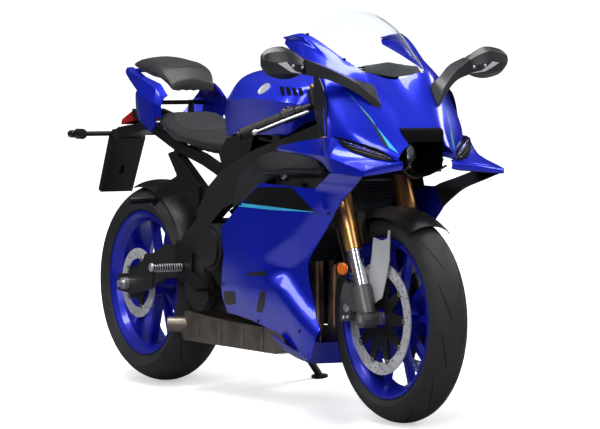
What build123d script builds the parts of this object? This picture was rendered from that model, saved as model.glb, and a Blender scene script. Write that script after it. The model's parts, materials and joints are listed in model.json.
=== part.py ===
"""Sport motorcycle with full fairings, parked on its side stand.

Everything is drawn upright, in millimetres: X forward, Y to the left, Z up, with the
ground point under the rear axle as origin. park() then leans each piece to the left
onto the side stand and puts the origin at the bottom centre of the whole machine.
"""
from build123d import *
from math import asin, atan2, cos, degrees, hypot, radians, sin, tan
import os

# ---- Driving dimensions -------------------------------------------------------------
lean = 10.0  # degrees to the left, as it rests on the side stand
wheelbase = 1420.0
rake = 22.67  # degrees from the vertical
fork_half = 105.0  # centre line of each fork leg from the middle
fork_offset = 28.9  # fork legs ahead of the steering axis
fork_top = 712.0  # along the leg, from the front axle

front_tyre_r = 300.0
front_tyre_half = 60.0
front_crown = 60.6  # radius across the tread
front_rim_half = 50.7
rear_tyre_r = 315.0
rear_tyre_half = 90.0
rear_crown = 106.0
rear_rim_half = 73.0
rim_flange_r = 229.7
bead_r = 217.9

front_disc_r = 160.0
front_disc_y = 64.5  # middle of each front disc
front_disc_t = 5.0
rear_disc_r = 110.0
rear_disc_y = -88.5
rear_disc_t = 5.0
axle_r = 12.0
spokes = 5

chain_pitch = 15.875
rear_teeth = 43
front_teeth = 16
chain_y = 108.0
front_sprocket = (505.0, 430.0)
pivot = (424.0, 433.0)  # swingarm pivot in side view

engine_half = 96.0
panel_t = 3.5
spin_gap = 0.3  # between a wheel's hub and its axle
seat_gap = 0.3  # between pieces that rest on each other

# ---- Worked out from them -----------------------------------------------------------
rear_axle_z = rear_tyre_r
rear_drop = rear_crown * (1 - cos(radians(lean)))
front_axle_z = front_tyre_r - front_crown + (front_crown - rear_drop) / cos(radians(lean))
rear_pitch_r = chain_pitch / (2 * sin(radians(180 / rear_teeth)))
front_pitch_r = chain_pitch / (2 * sin(radians(180 / front_teeth)))

along_fork = Vector(-sin(radians(rake)), 0, cos(radians(rake)))
ahead_of_fork = Vector(cos(radians(rake)), 0, sin(radians(rake)))
front_axle_point = Vector(wheelbase, 0, front_axle_z)
rear_axle_point = Vector(0, 0, rear_axle_z)
steer_point = front_axle_point - ahead_of_fork * fork_offset
steering = Plane(origin=steer_point, x_dir=ahead_of_fork, z_dir=along_fork)
front_spin = Axis(front_axle_point, (0, 1, 0))
rear_spin = Axis(rear_axle_point, (0, 1, 0))
front_section = Plane(origin=front_axle_point, x_dir=(0, 1, 0), z_dir=(1, 0, 0))
rear_section = Plane(origin=rear_axle_point, x_dir=(0, 1, 0), z_dir=(1, 0, 0))


def plate(points, y_low, y_high, radius=0.0):
    """Flat plate between two y values with the (x, z) outline points."""
    with BuildPart() as body:
        with BuildSketch(Plane.XZ.offset(-y_low)) as outline:
            with BuildLine():
                Polyline(*points, close=True)
            make_face()
            if radius:
                fillet(outline.vertices(), radius)
        extrude(amount=-(y_high - y_low))
    return body.part


def wheel_section(centre, angle):
    """Plane through a wheel's axle: local x across the tread, local y out at the angle."""
    turn = radians(angle)
    return Plane(origin=centre, x_dir=(0, 1, 0), z_dir=(sin(turn), 0, -cos(turn)))


def bar(y_low, y_high, point, radius, bore=0.0):
    """Round bar or tube across the machine, centred on an (x, z) point."""
    with BuildPart() as body:
        with BuildSketch(Plane.XZ.offset(-y_low)):
            with Locations(point):
                Circle(radius)
                if bore:
                    Circle(bore, mode=Mode.SUBTRACT)
        extrude(amount=-(y_high - y_low))
    return body.part


def inside(points, wall):
    """The open line of points, moved to the right of its direction by the wall."""
    points = [Vector(*point) for point in points]
    runs = [(b - a).normalized() for a, b in zip(points, points[1:])]
    before, after = [runs[0], *runs], [*runs, runs[-1]]
    moved = []
    for point, one, two in zip(points, before, after):
        out = Vector(one.Y + two.Y, -one.X - two.X).normalized()
        moved.append(point + out * (wall / out.dot(Vector(one.Y, -one.X))))
    return [(point.X, point.Y) for point in moved]


def skin(stations, wall=panel_t):
    """Thin left-hand panel: each station is (x, (y, z), ...) from its top edge down."""
    with BuildPart() as shell:
        for x, *points in stations:
            with BuildSketch(Plane.YZ.offset(x)):
                with BuildLine():
                    Polyline(*points, *reversed(inside(points, wall)), close=True)
                make_face()
        loft(ruled=True)
    return shell.part


def arch(stations, wall=panel_t):
    """Thin panel over the middle: each station is (x, (0, z), (y, z), ...) from the middle down."""
    whole = []
    for x, *half in stations:
        whole.append((x, *[(-y, z) for y, z in reversed(half[1:])], *half))
    return skin(whole, wall)


def block(stations):
    """Solid through closed outlines, each (x, (y, z), ...)."""
    with BuildPart() as body:
        for x, *points in stations:
            with BuildSketch(Plane.YZ.offset(x)):
                with BuildLine():
                    Polyline(*points, close=True)
                make_face()
        loft(ruled=True)
    return body.part


def across(rows):
    """Solid through closed outlines, each (y, (x, z), ...)."""
    with BuildPart() as body:
        for y, *points in rows:
            with BuildSketch(Plane.XZ.offset(-y)):
                with BuildLine():
                    Polyline(*points, close=True)
                make_face()
        loft(ruled=True)
    return body.part


def hull_block(stations):
    """Solid symmetric about the middle; stations give (x, (y, z), ...) top to bottom."""
    whole = []
    for x, *half in stations:
        other = [(-y, z) for y, z in reversed(half) if y > 0.01]
        whole.append((x, *half, *other))
    return block(whole)


def spar(stations):
    """Box-section arm: each station is (x, y_inner, y_outer, z_low, z_high)."""
    return block([(x, (a, low), (b, low), (b, high), (a, high)) for x, a, b, low, high in stations])


def rod(start, end, radius):
    """Round bar between two points."""
    path = Vector(*end) - Vector(*start)
    with BuildPart() as body:
        with BuildSketch(Plane(origin=start, z_dir=path.normalized())):
            Circle(radius)
        extrude(amount=path.length)
    return body.part


def tube_path(points, radius, bends):
    """Round bar along straight runs joined by tangent arcs."""
    with BuildPart() as body:
        with BuildLine() as route:
            FilletPolyline(*points, radius=bends)
        start = Plane(origin=route.line @ 0, z_dir=route.line % 0)
        with BuildSketch(start):
            Circle(radius)
        sweep()
    return body.part


# ---- Wheels -------------------------------------------------------------------------
def tyre_ring(section, spin, outer_r, half, crown, rim_half, wall=8.0):
    """Hollow tyre, open between its beads."""
    bead_y = rim_half - 6.0 - seat_gap
    side = ((rim_half + 2, rim_flange_r + 5), (bead_y, rim_flange_r + 0.6), (bead_y, bead_r + seat_gap))
    shoulder_z = outer_r - crown + (crown**2 - half**2) ** 0.5
    inner_half = half - wall
    inner_crown = crown - wall
    inner_shoulder = outer_r - crown + (inner_crown**2 - inner_half**2) ** 0.5
    inner_top = outer_r - crown + (inner_crown**2 - inner_half**2 / 4) ** 0.5
    with BuildPart() as ring:
        with BuildSketch(section):
            with BuildLine():
                ThreePointArc((-half, shoulder_z), (0, outer_r), (half, shoulder_z))
                Polyline((half, shoulder_z), *side, *[(-y, r) for y, r in reversed(side)], (-half, shoulder_z))
            make_face()
            with BuildLine():
                Polyline((-inner_half, inner_shoulder), (-inner_half / 2, inner_top), (inner_half / 2, inner_top),
                         (inner_half, inner_shoulder), (bead_y - wall, bead_r - 1), (wall - bead_y, bead_r - 1),
                         close=True)
            make_face(mode=Mode.SUBTRACT)
        revolve(axis=spin)
    return ring


front_tyre = tyre_ring(front_section, front_spin, front_tyre_r, front_tyre_half, front_crown, front_rim_half)
rear_tyre = tyre_ring(rear_section, rear_spin, rear_tyre_r, rear_tyre_half, rear_crown, rear_rim_half, 9.0)


def rim_barrel(section, spin, half):
    """Rim hoop with two flanges and a dropped centre."""
    outer = ((half, rim_flange_r), (half - 5.7, rim_flange_r), (half - 6.0, bead_r), (half - 20, bead_r - 2),
             (half - 30, bead_r - 13))
    inner = ((half - 28, bead_r - 20), (half - 12, bead_r - 9), (half, bead_r + 3))
    right = [*outer, *[(-y, r) for y, r in reversed(outer)]]
    left = [*[(-y, r) for y, r in reversed(inner)], *inner]
    with BuildPart() as hoop:
        with BuildSketch(section):
            with BuildLine():
                Polyline(*right, *left, close=True)
            make_face()
        revolve(axis=spin)
    return hoop.part


def spoke_pairs(centre, depth, hub_r, rim_r):
    """Five pairs of straight spokes in the wheel's plane."""
    with BuildPart() as star:
        with BuildSketch(Plane(origin=(centre.X, -depth / 2, centre.Z), x_dir=(1, 0, 0), z_dir=(0, -1, 0))):
            for pair in range(spokes):
                for side in (-1, 1):
                    at_hub = radians(pair * 360 / spokes + 90 + side * 14)
                    at_rim = radians(pair * 360 / spokes + 90 + side * 16)
                    with BuildLine():
                        Polyline(*[(r * cos(a + d / r), r * sin(a + d / r)) for r, a, d in (
                            (hub_r, at_hub, -9), (rim_r, at_rim, -8), (rim_r, at_rim, 8), (hub_r, at_hub, 9))],
                            close=True)
                    make_face()
        extrude(amount=-depth)
    return star.part


front_hoop = rim_barrel(front_section, front_spin, front_rim_half)
rear_hoop = rim_barrel(rear_section, rear_spin, rear_rim_half)
front_spokes = spoke_pairs(front_axle_point, 22, 28, bead_r - 18)
rear_spokes = spoke_pairs(rear_axle_point, 26, 40, bead_r - 18)
front_hub_end = front_disc_y - front_disc_t / 2 - seat_gap

with BuildPart() as front_rim:
    add(front_hoop)
    add(front_spokes)
    add(bar(-50, 50, (wheelbase, front_axle_z), 33))
    add(bar(-front_hub_end, -50, (wheelbase, front_axle_z), 58))
    add(bar(50, front_hub_end, (wheelbase, front_axle_z), 58))
    add(bar(-80, 80, (wheelbase, front_axle_z), axle_r + spin_gap), mode=Mode.SUBTRACT)

with BuildPart() as rear_rim:
    add(rear_hoop)
    add(rear_spokes)
    add(bar(-60, 30, (0, rear_axle_z), 46))
    add(bar(-85.7, -60, (0, rear_axle_z), 52))
    add(bar(30, 98, (0, rear_axle_z), 72))
    add(bar(-110, 110, (0, rear_axle_z), axle_r + spin_gap), mode=Mode.SUBTRACT)


def brake_disc(centre, y, thickness, outer_r, band, carrier_r, arms):
    """Drilled ring on an open carrier, as one rotor."""
    with BuildPart() as rotor:
        with BuildSketch(Plane.XZ.offset(-(y - thickness / 2))):
            with Locations((centre.X, centre.Z)):
                Circle(outer_r)
                Circle(outer_r - band, mode=Mode.SUBTRACT)
                Circle(carrier_r)
                Circle(axle_r + 14, mode=Mode.SUBTRACT)
            for arm in range(arms):
                turn = arm * 360 / arms
                reach = (carrier_r + outer_r - band) / 2
                spot = (centre.X + reach * cos(radians(turn)), centre.Z + reach * sin(radians(turn)))
                with Locations(Location((*spot, 0), turn)):
                    Rectangle(outer_r - band - carrier_r + 16, 14)
            with Locations((centre.X, centre.Z)):
                with PolarLocations(outer_r - 0.5 * band, arms):
                    Circle(5, mode=Mode.SUBTRACT)
        extrude(amount=-thickness)
    return rotor.part


with BuildPart() as front_discs:
    for side in (-1, 1):
        add(brake_disc(front_axle_point, side * front_disc_y, front_disc_t, front_disc_r, 34, 62, 10))

with BuildPart() as rear_disc:
    add(brake_disc(rear_axle_point, rear_disc_y, rear_disc_t, rear_disc_r, 32, 56, 5))

with BuildPart() as rear_sprocket:
    with BuildSketch(Plane.XZ.offset(-(chain_y - 3.65))):
        with Locations((0, rear_axle_z)):
            Circle(rear_pitch_r - 5)
            Circle(axle_r + 14, mode=Mode.SUBTRACT)
            with PolarLocations(78, 5):
                Circle(14, mode=Mode.SUBTRACT)
        for tooth in range(rear_teeth):
            turn = tooth * 360 / rear_teeth
            with Locations((0, rear_axle_z)):
                with Locations(Location((0, 0, 0), turn)):
                    with Locations((rear_pitch_r - 1.5, 0)):
                        Trapezoid(11, 8.5, 62, rotation=-90)
    extrude(amount=-7.3)

# ---- Fork and steering --------------------------------------------------------------
def up_leg(side, low, high, radius, bore=0.0):
    """Tube on a fork leg between two distances from the axle."""
    origin = front_axle_point + Vector(0, side * fork_half, 0) + along_fork * low
    with BuildPart() as body:
        with BuildSketch(Plane(origin=origin, x_dir=ahead_of_fork, z_dir=along_fork)):
            Circle(radius)
            if bore:
                Circle(bore, mode=Mode.SUBTRACT)
        extrude(amount=high - low)
    return body.part


def yoke(low, high, reach):
    """Clamp plate holding both legs and the steering stem."""
    with BuildPart() as body:
        with BuildSketch(steering.offset(low)):
            for side in (-1, 1):
                with Locations((fork_offset, side * fork_half)):
                    Circle(reach)
            with BuildLine():
                Polyline((-30, -34), (10, -fork_half), (fork_offset + 24, -fork_half), (fork_offset + 6, 0),
                         (fork_offset + 24, fork_half), (10, fork_half), (-30, 34), close=True)
            make_face()
            with Locations((fork_offset, -fork_half), (fork_offset, fork_half)):
                Circle(27.1, mode=Mode.SUBTRACT)
        extrude(amount=high - low)
    return body.part


with BuildPart() as yokes:
    add(yoke(fork_top - 40, fork_top - 14, 37))
    add(yoke(fork_top - 262, fork_top - 222, 38))
    with BuildSketch(steering.offset(fork_top - 262)):
        Circle(16)
    extrude(amount=248)
    with BuildSketch(steering.offset(fork_top - 14)):
        Circle(17)
    extrude(amount=10)
    with BuildSketch(steering.offset(fork_top - 262)):
        Circle(9)
    extrude(amount=262, mode=Mode.SUBTRACT)

with BuildPart() as fork_tubes:
    for side in (-1, 1):
        add(up_leg(side, 205, 262, 25))
        add(up_leg(side, 262, fork_top, 27))
        add(up_leg(side, 200, 300, 21.6), mode=Mode.SUBTRACT)

with BuildPart() as fork_sliders:
    for side in (-1, 1):
        add(up_leg(side, 62, 299.7, 21.5))

with BuildPart() as fork_feet:
    for side in (-1, 1):
        low, high = sorted((side * (fork_half - 20), side * (fork_half + 27)))
        add(up_leg(side, 12, 96, 27))
        add(bar(low, high, (wheelbase, front_axle_z), 25))
        low, high = sorted((side * (96 + seat_gap), side * (fork_half + 12)))
        add(plate([(wheelbase - 12, front_axle_z + 30), (wheelbase - 60, front_axle_z + 16),
                   (wheelbase - 132, front_axle_z + 50), (wheelbase - 118, front_axle_z + 92),
                   (wheelbase - 46, front_axle_z + 100)], low, high))
        add(up_leg(side, 61.8, 130, 21.6), mode=Mode.SUBTRACT)
    add(bar(-140, 140, (wheelbase, front_axle_z), axle_r + 0.1), mode=Mode.SUBTRACT)

with BuildPart() as front_axle:
    add(bar(-132, 140, (wheelbase, front_axle_z), axle_r))
    add(bar(fork_half + 27.3, fork_half + 35, (wheelbase, front_axle_z), 19))
    add(bar(-front_hub_end - 15, -front_hub_end - 0.6, (wheelbase, front_axle_z), 18))
    add(bar(front_hub_end + 0.6, front_hub_end + 15, (wheelbase, front_axle_z), 18))


def caliper(centre, y_in, y_out, slot_in, slot_out, inner_r, outer_r, start, end, disc_r):
    """Brake caliper as a block bent round the disc's edge."""
    with BuildPart() as body:
        with BuildSketch(Plane.XZ.offset(-y_in)):
            with BuildLine():
                for radius, first, last in ((inner_r, start, end), (outer_r, end, start)):
                    CenterArc((centre.X, centre.Z), radius, first, last - first)
                for turn in (start, end):
                    way = (cos(radians(turn)), sin(radians(turn)))
                    Line((centre.X + inner_r * way[0], centre.Z + inner_r * way[1]),
                         (centre.X + outer_r * way[0], centre.Z + outer_r * way[1]))
            make_face()
        extrude(amount=-(y_out - y_in))
        with BuildSketch(Plane.XZ.offset(-slot_in)):
            with Locations((centre.X, centre.Z)):
                Circle(disc_r + 2)
        extrude(amount=-(slot_out - slot_in), mode=Mode.SUBTRACT)
    return body.part


with BuildPart() as front_calipers:
    add(caliper(front_axle_point, 52, 96, 60, 69, 112, 172, 144, 187, front_disc_r))
    add(caliper(front_axle_point, -96, -52, -69, -60, 112, 172, 144, 187, front_disc_r))
    add(fork_feet.part, mode=Mode.SUBTRACT)



def beside_leg(side, high, ahead, y):
    """Point beside a fork leg: distance from the axle along it, ahead of it and from the middle."""
    return front_axle_point + along_fork * high + ahead_of_fork * ahead + Vector(0, side * y, 0)


hose_r = 4.0
hose_route = ((120, -100, 84), (190, -64, 100), (260, -24, fork_half + 24), (449.9, -24, fork_half + 24))
with BuildPart() as brake_hoses:
    for side in (-1, 1):
        add(tube_path([beside_leg(side, *point) for point in hose_route], hose_r, 18))
    add(front_calipers.part, mode=Mode.SUBTRACT)
    add(yokes.part, mode=Mode.SUBTRACT)

clip_on_low = fork_top - 66
bar_sweep = 28.0
bar_drop = 22.0


def grip_point(side, out, rise=0.0):
    """Point on a handlebar tube, out from its fork leg."""
    foot = front_axle_point + Vector(0, side * fork_half, 0) + along_fork * (clip_on_low + 13)
    flat = out * cos(radians(bar_drop))
    back = Vector(-flat * sin(radians(bar_sweep)), side * flat * cos(radians(bar_sweep)), rise)
    return foot + back - Vector(0, 0, out * sin(radians(bar_drop)))


with BuildPart() as handlebars:
    for side in (-1, 1):
        add(up_leg(side, clip_on_low, clip_on_low + 26, 37))
        add(rod(grip_point(side, 20), grip_point(side, 262), 11))
        add(up_leg(side, clip_on_low - 5, clip_on_low + 40, 27.1), mode=Mode.SUBTRACT)

with BuildPart() as grips:
    for side in (-1, 1):
        add(rod(grip_point(side, 128), grip_point(side, 250), 17))
        add(rod(grip_point(side, 120), grip_point(side, 275), 11.1), mode=Mode.SUBTRACT)

with BuildPart() as controls:
    for side in (-1, 1):
        add(rod(grip_point(side, 84), grip_point(side, 126), 21))
        add(rod(grip_point(side, 60), grip_point(side, 82), 17))
        add(rod(grip_point(side, 72) + Vector(10, 0, 0), grip_point(side, 72) + Vector(60, side * 14, 0), 10))
        add(rod(grip_point(side, 72) + Vector(56, side * 6, 0), grip_point(side, 235) + Vector(60, 0, 4), 6))
        add(rod(grip_point(side, 50), grip_point(side, 135), 11.1), mode=Mode.SUBTRACT)

fender_gap = 12.0
with BuildPart() as front_fender:
    with BuildSketch(wheel_section(front_axle_point, 152)):
        with BuildLine():
            ThreePointArc((-72, front_tyre_r - 14), (0, front_tyre_r + fender_gap + 4), (72, front_tyre_r - 14))
            Line((72, front_tyre_r - 14), (69, front_tyre_r - 15))
            ThreePointArc((69, front_tyre_r - 15), (0, front_tyre_r + fender_gap), (-69, front_tyre_r - 15))
            Line((-69, front_tyre_r - 15), (-72, front_tyre_r - 14))
        make_face()
    revolve(axis=front_spin, revolution_arc=94)
    for side in (-1, 1):
        low, high = sorted((side * 68, side * 90))
        add(plate([(1292, 592), (1338, 600), (1372, 510), (1330, 510)], low, high))
        add(up_leg(side, 150, 400, 27 + seat_gap), mode=Mode.SUBTRACT)

with BuildPart() as fork_guards:
    for side in (-1, 1):
        low, high = sorted((side * 73, side * 76.5))
        add(plate([(1400, 528), (1445, 520), (1474, 528), (1480, 552), (1486, 552), (1483, 468), (1470, 422),
                   (1445, 359), (1387, 332), (1365, 390), (1377, 423), (1393, 482)], low, high))
        low, high = sorted((side * 76, side * 86))
        add(bar(low, high, (1394.6, 360), 8))
    add(fork_feet.part, mode=Mode.SUBTRACT)
    add(fork_sliders.part, mode=Mode.SUBTRACT)

# ---- Side stand ---------------------------------------------------------------------
stand_pivot = Vector(500, 140, 240)
stand_tilt = 30.0  # pivot pin's slope, so that the foot ends outside the machine
stand_forward = 15.0  # foot ahead of the pivot, so that weight pushes it onto its stop
stand_leg_r = 11.0
stand_pin_r = 6.0
stand_axis = Vector(0, cos(radians(stand_tilt)), sin(radians(stand_tilt)))
stand_plane = Plane(origin=stand_pivot, x_dir=(1, 0, 0), z_dir=stand_axis)
stand_way = stand_plane.y_dir * cos(radians(stand_forward)) + Vector(sin(radians(stand_forward)), 0, 0)
ground_rise = tan(radians(lean))  # the ground's slope across the upright machine
ground_z = -rear_drop / cos(radians(lean))  # the ground under the middle of the machine
foot_t = 8.0
foot_rise = foot_t / cos(radians(lean))
stand_length = (stand_pivot.Z - ground_z - foot_rise - ground_rise * stand_pivot.Y) / (
    ground_rise * stand_way.Y - stand_way.Z)
stand_foot = stand_pivot + stand_way * stand_length
ground_plane = Plane(origin=stand_foot, x_dir=(1, 0, 0), z_dir=(0, -sin(radians(lean)), cos(radians(lean))))

with BuildPart() as side_stand:
    with BuildSketch(stand_plane.offset(-6)):
        Circle(15)
        with Locations((26 * sin(radians(stand_forward)), 26 * cos(radians(stand_forward)))):
            Rectangle(24, 52, rotation=-stand_forward)
    extrude(amount=12)
    add(rod(stand_pivot + stand_way * 36, stand_foot + stand_way * -2, stand_leg_r))
    with BuildSketch(ground_plane.offset(-foot_t)):
        SlotOverall(64, 40)
    extrude(amount=foot_t)
    with BuildSketch(stand_plane.offset(-20)):
        Circle(stand_pin_r + spin_gap)
    extrude(amount=40, mode=Mode.SUBTRACT)

# ---- Frame, engine and what is bolted to them ---------------------------------------
head_low = fork_top - 218
head_high = fork_top - 44
with BuildPart() as frame:
    with BuildSketch(steering.offset(head_low)):
        Circle(33)
    extrude(amount=head_high - head_low)
    left_spar = spar([(1165, 5, 26, 765, 850), (1100, 42, 82, 745, 842), (1000, 100, 134, 705, 800),
                      (860, 118, 150, 640, 765), (660, 120, 150, 580, 700), (560, 122, 148, 520, 640),
                      (490, 122, 146, 440, 560)])
    add(left_spar)
    add(mirror(left_spar, about=Plane.XZ))
    side_plate = plate([(520, 560), (392, 480), (378, 400), (430, 300), (470, 262), (520, 262), (565, 300),
                        (560, 345), (535, 380)], 122, 146, 12)
    hanger = plate([(895, 725), (985, 740), (985, 645), (930, 645)], engine_half + seat_gap, 116, 10)
    for solid in (side_plate, hanger):
        add(solid)
        add(mirror(solid, about=Plane.XZ))
    for side in (-1, 1):
        for spot in ((571, 530), (548, 322)):
            low, high = sorted((side * (engine_half + seat_gap), side * 124))
            add(bar(low, high, spot, 14))
        low, high = sorted((side * 100, side * 116))
        add(plate([(895, 745), (945, 745), (940, 805.7), (900, 805.7)], low, high))
    for level in (-14, 7):
        with BuildSketch(stand_plane.offset(level)):
            with Locations((0, -16)):
                Rectangle(28, 36)
            Circle(14)
        extrude(amount=7)
    with BuildSketch(stand_plane.offset(-14)):
        Circle(stand_pin_r)
    extrude(amount=28)
    with BuildSketch(steering.offset(head_low - 1)):
        Circle(17)
    extrude(amount=head_high - head_low + 2, mode=Mode.SUBTRACT)
    add(bar(-150, 150, pivot, 14.1), mode=Mode.SUBTRACT)

# The frame is welded from a head casting, two spars and two tubes across.
head_joint = 1040.0
with BuildPart() as frame_head:
    add(frame.part)
    split(bisect_by=Plane.YZ.offset(head_joint), keep=Keep.TOP)

with BuildPart() as frame_left:
    add(frame.part)
    split(bisect_by=Plane.YZ.offset(head_joint), keep=Keep.BOTTOM)
    split(bisect_by=Plane.XZ, keep=Keep.BOTTOM)

with BuildPart() as frame_right:
    add(frame.part)
    split(bisect_by=Plane.YZ.offset(head_joint), keep=Keep.BOTTOM)
    split(bisect_by=Plane.XZ, keep=Keep.TOP)

with BuildPart() as frame_tubes:
    add(bar(-122, 122, (440, 296), 17))
    add(bar(-122, 122, (475, 525), 17))

with BuildPart() as engine:
    add(plate([(505, 310), (560, 262), (900, 240), (965, 300), (975, 420), (1035, 560), (1040, 665), (930, 705),
               (850, 600), (700, 560), (570, 540), (494, 486), (484, 410)], -engine_half, engine_half, 10))

with BuildPart() as engine_covers:
    add(bar(-178, -engine_half, (628, 462), 72))
    add(bar(-186, -178, (628, 462), 58))
    add(bar(-150, -engine_half, (745, 380), 55))
    add(bar(engine_half, 158, (800, 390), 66))
    add(bar(engine_half, 112, front_sprocket, 12))
    add(bar(chain_y - 3.65, chain_y + 3.65, front_sprocket, front_pitch_r - 4))
    add(plate([(545, 400), (640, 330), (760, 300), (760, 450), (620, 500), (545, 490)], -140, -engine_half, 12))

with BuildPart() as radiator:
    face = Plane(origin=(1137, 0, 560), x_dir=(0, 1, 0), z_dir=(cos(radians(12)), 0, sin(radians(-12))))
    with BuildSketch(face):
        Rectangle(290, 236)
    extrude(amount=-26)
    with BuildSketch(face.offset(2)):
        with Locations((-158, 0), (158, 0)):
            Rectangle(26, 236)
    extrude(amount=-32)
    for side in (-1, 1):
        low, high = sorted((side * 50, side * 58))
        add(plate([(1110, 655), (1147, 655), (1122, 756), (1098, 756)], low, high))
    add(frame.part, mode=Mode.SUBTRACT)

with BuildPart() as headers:
    for y in (-62, 0, 62):
        add(tube_path([(1009.6, y, 499.9), (1064.7, y, 476.3), (1064.7, y, 262), (1020, y * 0.7, 192),
                       (950.3, y * 0.7, 192)], 19, [45, 60, 60]))

with BuildPart() as silencer:
    add(plate([(300, 196), (330, 158), (900, 158), (950, 168), (950, 216), (870, 232), (620, 236), (340, 250)],
              -105, 105, 10))
    add(rod((330, -90, 206), (292, -138, 206), 24))
    add(rod((330, -90, 206), (280, -154, 206), 19), mode=Mode.SUBTRACT)

with BuildPart() as swingarm:
    add(bar(-118, 92, pivot, 38))
    left_arm = spar([(410, 50, 90, 385, 462), (370, 56, 96, 362, 446), (330, 70, 116, 348, 440),
                     (262, 123, 148, 345, 436),
                     (120, 124, 148, 300, 400), (20, 124, 148, 284, 348), (-62, 124, 148, 290, 342)])
    right_arm = spar([(410, -116, -60, 385, 474), (327, -128, -84, 352, 456), (262, -131, -106, 348, 452),
                      (120, -131, -106, 302, 400), (20, -131, -106, 284, 348), (-62, -131, -106, 290, 342)])
    add(left_arm)
    add(right_arm)
    add(plate([(395, 400), (350, 380), (345, 440), (395, 462)], -110, 85))
    add(bar(92, 121.7, pivot, 17))
    add(bar(-121.7, -118, pivot, 17))
    add(bar(-160, 160, (0, rear_axle_z), axle_r + 0.1), mode=Mode.SUBTRACT)
    add(bar(-160, 160, pivot, 10), mode=Mode.SUBTRACT)

with BuildPart() as rear_axle:
    add(bar(-160, 166, (0, rear_axle_z), axle_r))
    add(bar(148.3, 160, (0, rear_axle_z), 19))
    add(bar(-148, -131.3, (0, rear_axle_z), 19))
    add(bar(-105.7, -86.3, (0, rear_axle_z), 17))
    add(bar(98.3, 123.7, (0, rear_axle_z), 17))

# The chain wraps the sprockets and runs straight between them.
run = hypot(front_sprocket[0], front_sprocket[1] - rear_axle_z)
slope = degrees(atan2(front_sprocket[1] - rear_axle_z, front_sprocket[0]))
flare = degrees(asin((rear_pitch_r - front_pitch_r) / run))


def chain_loop(width, y_low, y_high):
    """Closed band of the given height along the chain's pitch line."""
    with BuildPart() as loop:
        with BuildSketch(Plane.XZ.offset(-y_low)):
            for grow, how in ((width / 2, Mode.ADD), (-width / 2, Mode.SUBTRACT)):
                with Locations((0, rear_axle_z)):
                    Circle(rear_pitch_r + grow, mode=how)
                with Locations(front_sprocket):
                    Circle(front_pitch_r + grow, mode=how)
                ends = []
                for turn, sign in ((slope + 90 - flare, 1), (slope - 90 + flare, -1)):
                    way = (cos(radians(turn)), sin(radians(turn)))
                    rear = ((rear_pitch_r + grow) * way[0], rear_axle_z + (rear_pitch_r + grow) * way[1])
                    nose = (front_sprocket[0] + (front_pitch_r + grow) * way[0],
                            front_sprocket[1] + (front_pitch_r + grow) * way[1])
                    ends += [rear, nose] if sign > 0 else [nose, rear]
                with BuildLine():
                    Polyline(*ends, close=True)
                make_face(mode=how)
        extrude(amount=-(y_high - y_low))
    return loop.part


with BuildPart() as chain:
    add(chain_loop(15, chain_y - 9, chain_y - 4))
    add(chain_loop(15, chain_y + 4, chain_y + 9))

with BuildPart() as rear_hugger:
    with BuildSketch(wheel_section(rear_axle_point, 100)):
        with BuildLine():
            ThreePointArc((-80, rear_tyre_r - 10), (0, rear_tyre_r + 14), (80, rear_tyre_r - 10))
            Line((80, rear_tyre_r - 10), (77, rear_tyre_r - 11))
            ThreePointArc((77, rear_tyre_r - 11), (0, rear_tyre_r + 11), (-77, rear_tyre_r - 11))
            Line((-77, rear_tyre_r - 11), (-80, rear_tyre_r - 10))
        make_face()
    revolve(axis=rear_spin, revolution_arc=72)
    for side in (-1, 1):
        add(rod((354, side * 60, 436), (280, side * 60, 465), 6))
    add(swingarm.part, mode=Mode.SUBTRACT)

with BuildPart() as rear_caliper:
    add(caliper(rear_axle_point, -105.7, -66, -93, -84, 74, 124, 20, 52, rear_disc_r))

with BuildPart() as rearsets:
    for side in (-1, 1):
        low, high = sorted((side * 146.3, side * 156))
        add(plate([(478, 440), (380, 474), (356, 400), (392, 350), (470, 340)], low, high, 8))
        add(rod((416, side * 155, 390), (408, side * 262, 392), 11))
        add(rod((409, side * 250, 384), (404, side * 253, 338), 4))
        low, high = sorted((side * 155, side * 163))
        add(plate([(452, 372), (478, 380), (590, 338), (590, 326), (470, 348)], low, high, 3))
        add(rod((582, side * 158, 332), (582, side * 205, 332), 7))

# ---- Seats, tank and tail -----------------------------------------------------------
with BuildPart() as subframe:
    rail = spar([(640, 99, 119.7, 655, 690), (470, 96, 116, 705, 740), (280, 84, 104, 742, 772),
                 (60, 60, 80, 800, 828), (-99.7, 40, 58, 843, 868)])
    strut = spar([(545, 103, 121.7, 560, 605), (300, 88, 102, 700, 742)])
    for arm in (rail, strut):
        add(arm)
        add(mirror(arm, about=Plane.XZ))
    for half, spot in ((100, (560, 700)), (88, (300, 752)), (64, (40, 818))):
        add(bar(-half, half, spot, 9))
    for side in (-1, 1):
        for near, spot in ((88, (296, 735)), (102, (456, 620))):
            low, high = sorted((side * near, side * 116))
            add(bar(low, high, spot, 12))
        low, high = sorted((side * 66, side * 74))
        add(plate([(40, 820), (80, 810), (70, 898), (50, 898)], low, high))
    add(bar(-110, 110, (60, 890), 7))

with BuildPart() as passenger_pegs:
    peg_arm = plate([(300, 742), (470, 640), (470, 560), (440, 545), (430, 628), (210, 590), (168, 566),
                     (160, 590), (200, 622), (330, 668), (270, 735)], 116.3, 128, 4)
    add(peg_arm)
    add(mirror(peg_arm, about=Plane.XZ))
    add(rod((186, 130, 590), (176, 212, 586), 12))
    add(rod((186, -130, 590), (176, -212, 586), 12))

with BuildPart() as rider_seat:
    add(hull_block([(176, (0, 880), (96, 878), (128, 846), (120, 828)), (270, (0, 838), (120, 832), (138, 808), (126, 775.2)),
                    (430, (0, 815), (112, 808), (136, 786), (124, 747.2)), (560, (0, 828), (70, 820), (112, 780), (108, 732)),
                    (604, (0, 846), (52, 838), (84, 790), (92, 742))]))

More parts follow.
